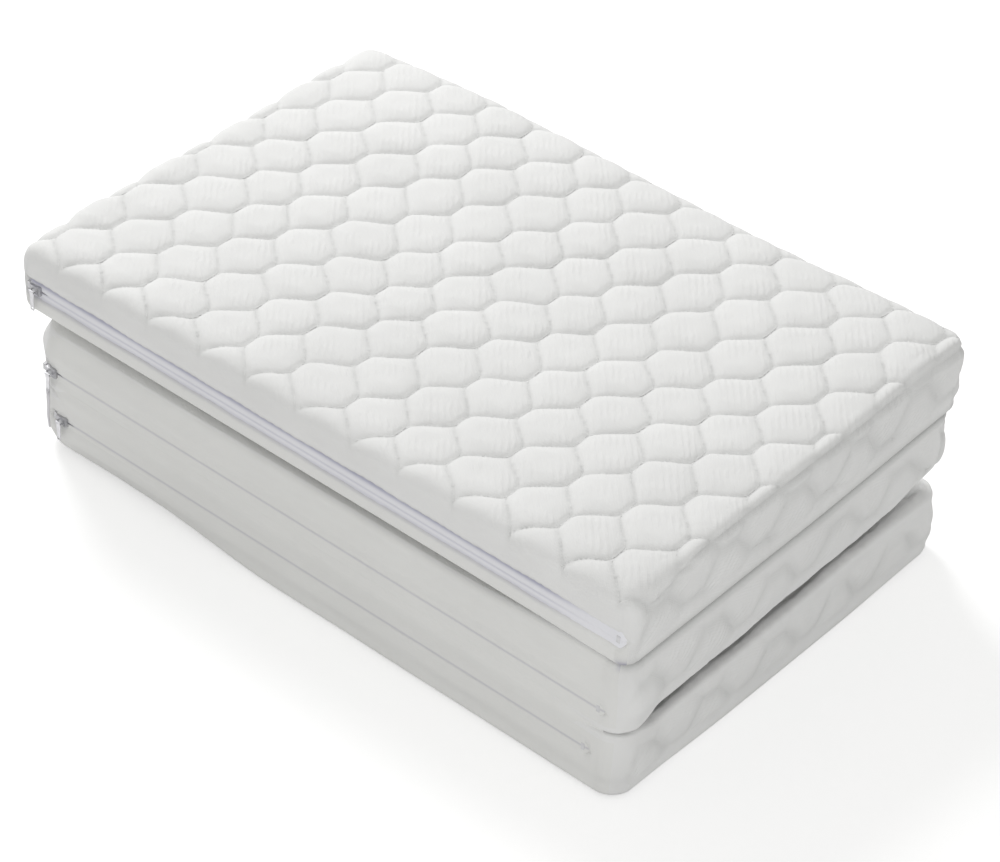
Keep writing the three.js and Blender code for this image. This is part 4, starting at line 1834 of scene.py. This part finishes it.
class SharedGroups:
    """The effects that more than one material uses."""

    def __init__(self) -> None:
        """Builds the groups once."""
        self.knit = self.build_knit()
        self.tone_and_shade = self.build_tone_and_shade()
        self.grain = self.build_grain()

    @staticmethod
    def start(name: str, inputs: dict[str, object], outputs: dict[str, object]) -> tuple[Graph, dict]:
        """Starts a group with its sockets.

        Args:
            name: The group's name.
            inputs: Each input's value, or its kind where it has none.
            outputs: Each output's kind.

        Returns:
            The group, and its inputs by name.
        """
        group = Graph(bpy.data.node_groups.new(name, "ShaderNodeTree"))
        group.sockets("INPUT", inputs)
        group.sockets("OUTPUT", outputs)
        given = group.node("NodeGroupInput").outputs
        return group, {label: given[label] for label in inputs}

    def build_knit(self) -> bpy.types.NodeTree:
        """Fine loops of a knitted or woven cloth, as a height.

        Returns:
            The group.
        """
        inputs = {"Vector": "Vector", "Loops": 900.0, "Unevenness": 0.4}
        group, given = self.start("cloth_knit", inputs, {"Height": "Float"})
        split = group.node("ShaderNodeSeparateXYZ", Vector=given["Vector"])
        waves = []
        for axis, rate in ((0, 1.0), (1, 0.72)):
            scaled = group.math("MULTIPLY", split.outputs[axis], given["Loops"])
            waves.append(group.math("SINE", group.math("MULTIPLY", scaled, 6.2832 * rate)))
        noise = group.node("ShaderNodeTexNoise", Vector=given["Vector"], Scale=650.0, Detail=2.0)
        rough = group.math("MULTIPLY", noise.outputs[0], given["Unevenness"])
        group.node("NodeGroupOutput", Height=group.math("ADD", group.math("MULTIPLY", *waves), rough))
        return group.tree

    def build_tone_and_shade(self) -> bpy.types.NodeTree:
        """Two tones in soft clouds, with painted shade multiplied in where a mask says so.

        Returns:
            The group.
        """
        inputs = {
            "Vector": "Vector",
            "Light": (1, 1, 1, 1),
            "Dark": (0.9, 0.9, 0.9, 1),
            "Shade": 0.0,
            "Shade Strength": 0.2,
            "Shade Color": (0.55, 0.56, 0.55, 1),
            "Scale": 14.0,
        }
        group, given = self.start("cloth_tone_and_painted_shade", inputs, {"Color": "Color"})
        noise = group.node("ShaderNodeTexNoise", Vector=given["Vector"], Scale=given["Scale"], Detail=4.0)
        share = group.node("ShaderNodeMapRange", Value=noise.outputs[0], From_Min=0.3, From_Max=0.7)
        tone = group.node(
            "ShaderNodeMix",
            data_type="RGBA",
            Factor=share.outputs[0],
            in_6=given["Dark"],
            in_7=given["Light"],
        )
        # Painted shade: multiplies the tone towards the shade colour where the Shade mask says so.
        shaded = group.node(
            "ShaderNodeMix",
            data_type="RGBA",
            blend_type="MULTIPLY",
            Factor=group.math("MULTIPLY", given["Shade"], given["Shade Strength"]),
            in_6=tone.outputs[2],
            in_7=given["Shade Color"],
        )
        group.node("NodeGroupOutput", Color=shaded.outputs[2])
        return group.tree

    def build_grain(self) -> bpy.types.NodeTree:
        """Fine stretched scratches for metal and moulded coil.

        Returns:
            The group.
        """
        inputs = {"Vector": "Vector", "Scale": 900.0, "Stretch": (1, 8, 1)}
        group, given = self.start("metal_grain", inputs, {"Height": "Float", "Roughness": "Float"})
        mapping = group.node("ShaderNodeMapping", Vector=given["Vector"], Scale=given["Stretch"])
        noise = group.node(
            "ShaderNodeTexNoise", Vector=mapping.outputs[0], Scale=given["Scale"], Detail=3.0
        )
        rough = group.node(
            "ShaderNodeMapRange",
            Value=noise.outputs[0],
            From_Min=0.3,
            From_Max=0.7,
            To_Min=0.28,
            To_Max=0.5,
        )
        group.node("NodeGroupOutput", Height=noise.outputs[0], Roughness=rough.outputs[0])
        return group.tree


@dataclass(frozen=True)
class ClothFinish:
    """A white or tinted cloth.

    Attributes:
        name: The material's name.
        light: The lighter tone.
        dark: The darker tone.
        loops: Loops of the knit to a metre.
        bump: Depth of the knit.
        pucker: Depth of the small folds inside the quilting's cells.
        painted_shade_strength: How strongly painted shade darkens the stitched rows, seams, lips and slits.
        shade: The colour that the painted shade multiplies by.
        sheen: Weight of the soft shine at grazing angles.
        own_coordinates: Whether the pattern follows the piece's cloth coordinates.
    """

    name: str
    light: tuple[float, float, float]
    dark: tuple[float, float, float]
    loops: float = 780.0
    bump: float = 0.00006
    pucker: float = 0.0
    painted_shade_strength: float = 0.0
    shade: tuple[float, float, float] = (0.55, 0.56, 0.55)
    sheen: float = 0.1
    own_coordinates: bool = True

    def build(self, groups: SharedGroups) -> bpy.types.Material:
        """Builds the material from the shared groups.

        Args:
            groups: The shared groups.

        Returns:
            The material.
        """
        shader = Shader(
            self.name,
            Roughness=0.9,
            Sheen_Weight=self.sheen,
            Sheen_Roughness=0.6,
            Specular_IOR_Level=0.25,
        )
        if self.own_coordinates:
            vector = shader.attribute("cloth", "Vector")
        else:
            vector = shader.node("ShaderNodeTexCoord").outputs["Object"]
        knit = shader.node("ShaderNodeGroup", node_tree=groups.knit, Vector=vector, Loops=self.loops)
        tone = shader.node(
            "ShaderNodeGroup",
            node_tree=groups.tone_and_shade,
            Vector=vector,
            Light=(*self.light, 1),
            Dark=(*self.dark, 1),
            # Painted shade from the piece's own shade attribute.
            Shade=shader.attribute("painted_shade", "Fac"),
            Shade_Strength=self.painted_shade_strength,
            Shade_Color=(*self.shade, 1),
        )
        shader.drive("Base Color", tone.outputs[0])
        height = shader.math("MULTIPLY", knit.outputs["Height"], self.bump / MM)
        if self.pucker > 0:
            height = shader.math("ADD", self.folds(shader, vector), height)
        shader.bump(height, MM)
        return shader.material

    def folds(self, shader: Shader, vector: bpy.types.NodeSocket) -> bpy.types.NodeSocket:
        """The height of the small folds that the stitches draw into each cell.

        Args:
            shader: The material.
            vector: The cloth's coordinates.

        Returns:
            The folds' height, in millimetres.
        """
        turned = shader.node("ShaderNodeMapping", Vector=vector, Rotation=(0, 0, math.radians(-41)))
        wave = shader.node(
            "ShaderNodeTexWave",
            Vector=turned.outputs[0],
            Scale=62.0,
            Distortion=2.4,
            Detail=2.0,
            Detail_Scale=1.6,
        )
        patches = shader.node("ShaderNodeTexNoise", Vector=vector, Scale=48.0, Detail=2.0)
        where = shader.node("ShaderNodeMapRange", Value=patches.outputs[0], From_Min=0.42, From_Max=0.62)
        mask = shader.math("MULTIPLY", where.outputs[0], shader.attribute("pucker", "Fac"))
        fold = shader.math("MULTIPLY", wave.outputs["Fac"], self.pucker / MM)
        return shader.math("MULTIPLY", fold, mask)


@dataclass(frozen=True)
class HardFinish:
    """Metal or moulded plastic.

    Attributes:
        name: The material's name.
        colour: Its colour.
        metallic: 1 for metal.
        bump: Depth of its grain.
    """

    name: str
    colour: tuple[float, float, float]
    metallic: float
    bump: float = 0.00003

    def build(self, groups: SharedGroups) -> bpy.types.Material:
        """Builds the material from the shared groups.

        Args:
            groups: The shared groups.

        Returns:
            The material.
        """
        shader = Shader(self.name, Metallic=self.metallic)
        vector = shader.node("ShaderNodeTexCoord").outputs["Object"]
        grain = shader.node("ShaderNodeGroup", node_tree=groups.grain, Vector=vector)
        tone = shader.node(
            "ShaderNodeGroup",
            node_tree=groups.tone_and_shade,
            Vector=vector,
            Light=(*self.colour, 1),
            Dark=(*(0.82 * part for part in self.colour), 1),
            Scale=180.0,
        )
        shader.drive("Base Color", tone.outputs[0])
        shader.drive("Roughness", grain.outputs["Roughness"])
        shader.bump(grain.outputs["Height"], self.bump)
        return shader.material


@dataclass
class Finishes:
    """Every finish of the mattress, built once.

    Attributes:
        groups: The effects that the finishes share.
    """

    groups: SharedGroups = field(default_factory=SharedGroups)

    def __post_init__(self) -> None:
        """Builds the materials."""
        groups = self.groups
        white = (0.86, 0.86, 0.855), (0.82, 0.82, 0.815)
        # Painted shade along the stitched rows and the sewn groove, in grey.
        self.quilted = ClothFinish("quilted_cloth", *white, pucker=0.0003, painted_shade_strength=0.26).build(groups)
        self.plain = ClothFinish(
            "plain_cloth",
            (0.83, 0.83, 0.815),
            (0.81, 0.81, 0.795),
            loops=900.0,
            bump=0.00004,
            # Painted shade at the lips, the slits and the underside's edge, in lilac grey.
            painted_shade_strength=0.6,
            shade=(0.52, 0.51, 0.62),
        ).build(groups)
        self.tape = ClothFinish(
            "zip_tape",
            (0.87, 0.87, 0.91),
            (0.84, 0.84, 0.88),
            loops=1100.0,
            bump=0.00004,
            # Painted shade along the open zip's lips, in lilac grey.
            painted_shade_strength=0.95,
            shade=(0.50, 0.50, 0.60),
        ).build(groups)
        self.ribbon = ClothFinish(
            "ribbon",
            (0.80, 0.79, 0.82),
            (0.72, 0.71, 0.74),
            loops=1500.0,
            own_coordinates=False,
        ).build(groups)
        self.thread = ClothFinish("thread", *white, loops=1800.0, own_coordinates=False).build(groups)
        self.coil = HardFinish("zip_coil", (0.60, 0.58, 0.68), 0.0).build(groups)
        self.stop = HardFinish("zip_stop", (0.76, 0.76, 0.78), 0.0).build(groups)
        self.slider = HardFinish("slider_metal", (0.55, 0.55, 0.57), 0.7).build(groups)
        self.pull = HardFinish("pull_metal", (0.70, 0.70, 0.72), 0.8).build(groups)


@dataclass
class Studio:
    """A pale floor, soft lamps and the camera of the photograph.

    Attributes:
        camera_place: Where the camera stands.
        right: Its direction to the right.
        forward: The direction in which it looks.
        lens: Focal length for a sensor 36 mm wide.
        sky: Strength of the light from all round.
    """

    camera_place: tuple[float, float, float] = (1.21343, -1.53625, 1.58521)
    right: tuple[float, float, float] = (0.75828, 0.64917, 0.05989)
    forward: tuple[float, float, float] = (-0.48436, 0.62248, -0.61474)
    lens: float = 115.443
    sky: float = 0.57

    def build_camera(self) -> None:
        """Builds the camera."""
        data = bpy.data.cameras.new("camera")
        data.lens = self.lens
        data.sensor_width = 36
        data.clip_end = 50
        camera = linked("camera", data)
        right, forward = Vector(self.right), Vector(self.forward).normalized()
        right = (right - right.dot(forward) * forward).normalized()
        axes = Matrix((right, right.cross(forward), -forward)).transposed().to_4x4()
        camera.matrix_world = Matrix.Translation(self.camera_place) @ axes
        bpy.context.scene.camera = camera

    def build_floor(self) -> None:
        """Builds the floor, which the camera sees white except in the object's shadow."""
        size, level = 12.0, -0.0004
        corners = [(-size, -size), (size, -size), (size, size), (-size, size)]
        points = np.array([(x, y, level) for x, y in corners])
        floor = mesh_object("floor", points, np.array([[0, 1, 2, 3]]))
        shader = Shader("floor", Roughness=0.9, Specular_IOR_Level=0.1, Emission_Color=(1, 1, 1, 1))
        tone = shader.node("ShaderNodeTexNoise", Scale=3.0).outputs[0]
        colour = shader.node("ShaderNodeMapRange", Value=tone, To_Min=0.8, To_Max=0.82)
        shader.drive("Base Color", colour.outputs[0])
        shader.drive("Emission Strength", shader.math("MULTIPLY", seen_directly(shader), 0.42))
        floor.data.materials.append(shader.material)

    def build_sky(self) -> None:
        """Builds the world: soft light from all round, and white where the camera sees it."""
        world = bpy.data.worlds.new("studio")
        bpy.context.scene.world = world
        world.use_nodes = True
        graph = Graph(world.node_tree)
        graph.tree.nodes.clear()
        soft = graph.node("ShaderNodeBackground", Color=(1, 1, 0.985, 1), Strength=self.sky)
        white = graph.node("ShaderNodeBackground", Color=(1, 1, 1, 1), Strength=1.0)
        mixed = graph.node(
            "ShaderNodeMixShader",
            in_0=seen_directly(graph),
            in_1=soft.outputs[0],
            in_2=white.outputs[0],
        )
        graph.node("ShaderNodeOutputWorld", Surface=mixed.outputs[0])

    def build_lamp(self, name: str, place: tuple[float, float, float], size: float, power: float) -> None:
        """Builds one soft lamp that looks at the mattress.

        Args:
            name: The lamp's name.
            place: Where it stands.
            size: Width of its square face.
            power: Power in watts.
        """
        data = bpy.data.lights.new(name, "AREA")
        data.shape = "SQUARE"
        data.size = size
        data.energy = power
        aim = (Vector((0, 0, 0.1)) - Vector(place)).to_track_quat("-Z", "Y").to_matrix().to_4x4()
        linked(name, data).matrix_world = Matrix.Translation(place) @ aim

    def build(self) -> None:
        """Builds everything round the mattress."""
        bpy.context.scene.view_settings.view_transform = "Standard"
        self.build_camera()
        self.build_floor()
        self.build_sky()
        self.build_lamp("key", (-2.1, 1.0, 2.35), 1.2, 57.0)
        self.build_lamp("fill", (1.4, -1.5, 0.6), 1.2, 6.3)


def towards(value: Array, low: float, high: float, start: float, end: float) -> Array:
    """Runs smoothly from start to end while value runs from low to high."""
    return start + (end - start) * smooth(value, low, high)


def hollow(x: Array, y: Array) -> Array:
    """Where the quilted sides that face each other lie hollow behind their right rims."""
    rim = smooth(x, 0.293, 0.284) * smooth(y, 0.19, 0.13)
    return smooth(x, 0.20, 0.255) * rim * smooth(y, -0.185, -0.15)


def at_right(x: Array, y: Array) -> Array:
    """1 along the right end, and 0 at the front corner, where the panels stay together."""
    return smooth(x, 0.27, 0.288) * smooth(y, -0.182, -0.155)


class Mattress:
    """The whole mattress: covers, folds, zips, stitches and the ribbon."""

    def __init__(self, finishes: Finishes) -> None:
        """Sets out the three panels.

        Args:
            finishes: The materials.
        """
        self.finishes = finishes
        self.fold = Fold()
        places = (self.fold.lower(), self.fold.middle(), self.fold.upper())
        shapes = (self.lower_shape(), self.middle_shape(), self.upper_shape())
        self.covers = [PanelCover(shape, QuiltPattern(), place) for shape, place in zip(shapes, places)]

    @staticmethod
    def lower_shape() -> PanelShape:
        """The lower panel: quilted side up, zip to the front, soft round bottom edges.

        Returns:
            The panel's shape.
        """

        def full_end(x: Array, y: Array) -> Array:
            """Where the bottom edge is fullest: the middle of the right end."""
            return smooth(x, 0.24, 0.28) * smooth(np.abs(y), 0.19, 0.06)

        sizes = ZipSizes(0.036, 0.0094, 0.530, 0.009, Face.FRONT, parked=-0.258)
        return PanelShape(
            name="lower",
            zip=sizes,
            corners=(0.030, 0.020, 0.022, 0.022),
            top_inset=constant(0.004),
            top_drop=constant(0.003),
            base_inset=lambda x, y: towards(x, -0.17, -0.03, 0.021, 0.008) - 0.004 * full_end(x, y),
            base_rise=lambda x, y: towards(x, -0.17, -0.03, 0.025, 0.007) - 0.005 * full_end(x, y),
            crown=lambda x, y: -0.008 * hollow(x, y) - 0.006 * at_right(x, y) * smooth(-y, -0.1, 0.1),
            sag=constant(0.0),
            nap=21,
            length=0.592,
            centre=0.004,
            # No painted shade along the underside's edge of this panel.
            under_shade=0.0,
        )

    @staticmethod
    def middle_shape() -> PanelShape:
        """The middle panel: turned over, its underside up, zip at its own back.

        Returns:
            The panel's shape.
        """
        sizes = ZipSizes(0.042, 0.0094, 0.550, 0.009, Face.BACK, parked=-0.268)

        def sag(x: Array, y: Array) -> Array:
            """The underside swells towards the upper panel at the right end.

            Args:
                x: Places along the panel.
                y: Places across the panel.

            Returns:
                The heights added.
            """
            gap = 0.0003 + 0.0084 * (y + 0.2) / 0.4
            far = smooth(x, 0.10, 0.29) * smooth(-y, 0.0, 0.19)
            near_left = smooth(y, 0.0, 0.12) * smooth(x, 0.16, -0.08) * smooth(y, 0.190, 0.158)
            return -0.80 * gap * smooth(x, 0.12, 0.27) - 0.004 * far + 0.016 * near_left

        def roundness(x: Array, y: Array) -> Array:
            """How soft the edge next to the upper panel is: most of all at the left end."""
            return smooth(x, 0.10, -0.20) * smooth(y, -0.18, 0.0)

        def far_corner(x: Array, y: Array) -> Array:
            """The soft corner at the far right end."""
            return smooth(x, 0.22, 0.3) * smooth(-y, 0.12, 0.2)

        return PanelShape(
            name="middle",
            zip=sizes,
            corners=(0.022, 0.024, 0.020, 0.030),
            top_inset=lambda x, y: 0.004 + 0.020 * far_corner(x, y),
            top_drop=lambda x, y: 0.003 + 0.020 * far_corner(x, y),
            base_inset=lambda x, y: towards(x, 0.1, 0.29, 0.012, 0.005) + 0.013 * roundness(x, y),
            base_rise=lambda x, y: towards(x, 0.1, 0.29, 0.009, 0.005) + 0.013 * roundness(x, y),
            crown=lambda x, y: -0.006 * hollow(x, -y) - 0.004 * at_right(x, -y),
            wall_relief=0.45,
            sag=sag,
            nap=31,
            length=0.592,
            centre=0.004,
        )

    @staticmethod
    def upper_shape() -> PanelShape:
        """The upper panel: quilted side up and rolled over to its zip.

        Returns:
            The panel's shape.
        """
        sizes = ZipSizes(
            0.022,
            0.014,
            0.574,
            0.003,
            Face.FRONT,
            parked=-0.280,
            hidden=False,
            # Painted shade along the lips at full strength.
            lip_shade=1.0,
            lip_wave=0.0004,
            line_wave=0.0,
        )

        def sag(x: Array, y: Array) -> Array:
            """The underside swells towards the middle panel at the right end.

            Args:
                x: Places along the panel.
                y: Places across the panel.

            Returns:
                The heights added.
            """
            gap = 0.0003 + 0.0084 * (0.2 - y) / 0.4
            far = smooth(x, 0.10, 0.29) * smooth(y, 0.0, 0.19)
            return -0.08 * gap * smooth(x, 0.12, 0.27) + 0.004 * far

        def crown(x: Array, y: Array) -> Array:
            """The quilted side stands highest at its right end and along its back.

            Args:
                x: Places along the panel.
                y: Places across the panel.

            Returns:
                The heights added.
            """
            left_corner = smooth(-x, 0.17, 0.3) * smooth(np.abs(y), 0.09, 0.2)
            near_corner = smooth(x, 0.24, 0.3) * smooth(-y, 0.12, 0.2)
            swell = 0.0065 * smooth(x, 0.08, 0.27) * (1 - 0.25 * (y / 0.2) ** 2)
            back = 0.0065 * smooth(y, 0.02, 0.16) * (1 - (np.minimum(x, 0.15) / 0.3) ** 4)
            return 0.001 + swell + back - 0.003 * left_corner - 0.003 * near_corner

        def at_end(x: Array, y: Array) -> Array:
            """1 along the right end, which is sewn to a crisp edge, and 0 elsewhere."""
            return smooth(x, 0.25, 0.275) * smooth(y, -0.185, -0.12)

        def inset(x: Array, y: Array) -> Array:
            """Where the quilted side starts to roll over."""
            side = 0.016 - 0.010 * smooth(y, 0.0, 0.15)
            return side + (0.004 - side) * at_end(x, y)

        return PanelShape(
            name="upper",
            zip=sizes,
            corners=(0.015, 0.012, 0.014, 0.018),
            top_inset=inset,
            top_drop=lambda x, y: 0.8 * inset(x, y),
            base_inset=lambda x, y: towards(x, 0.22, 0.29, 0.006, 0.005),
            base_rise=lambda x, y: towards(x, 0.22, 0.29, 0.006, 0.005),
            crown=crown,
            sag=sag,
            front_quilted=True,
            nap=41,
            top_limit=0.080,
            seam=lambda x, y: 0.0016 * at_end(x, y),
            wall_relief=0.45,
        )

    def build_covers(self) -> None:
        """Builds the three covers."""
        for cover in self.covers:
            report(cover.build([self.finishes.quilted, self.finishes.plain]))

    def build_folds(self) -> None:
        """Builds the bands over the two folds."""
        fold, covers = self.fold, self.covers
        top = fold.thickness + fold.half_gap
        front = FoldBand("front_fold_band", *covers[:2], top, -1, (0.0135, 0.0085), (-0.276, 0.282))
        low = -fold.half_gap
        back = FoldBand("back_fold_band", *covers[1:], low, 1, (0.020, 0.016), (-0.278, 0.288))
        for band in (front, back):
            report(band.build(self.finishes.plain))

    def build_zips(self) -> None:
        """Builds the zips."""
        finishes = self.finishes
        for cover in self.covers:
            zipper = ZipFastener(cover.shape.name, cover.shape.zip, cover.place, cover)
            report(zipper.build_tapes(finishes.plain if zipper.size.hidden else finishes.tape))
            report(zipper.build_coil(finishes.coil))
            zipper.dress(finishes.slider, finishes.pull, finishes.stop)

    def build_stitches(self) -> None:
        """Sews the quilting."""
        stitching = Stitching()
        for cover in self.covers:
            name = cover.shape.name
            piece = stitching.sew(
                f"{name}_stitches", cover.stitch_paths(), self.finishes.thread, f"{name}_panel"
            )
            report(piece)

    def build(self) -> None:
        """Builds every piece of the mattress."""
        self.build_covers()
        self.build_folds()
        self.build_zips()
        self.build_stitches()
        report(PullRibbon().build(self.finishes.ribbon))


def report(piece: bpy.types.Object) -> None:
    """Reports a finished piece."""
    LOG.info("%s: %d faces", piece.name, len(piece.data.polygons))


def main() -> None:
    """Builds the studio and the mattress."""
    logging.basicConfig(level=logging.INFO, format="%(message)s")
    Studio().build()
    Mattress(Finishes()).build()


if __name__ == "__main__":
    main()
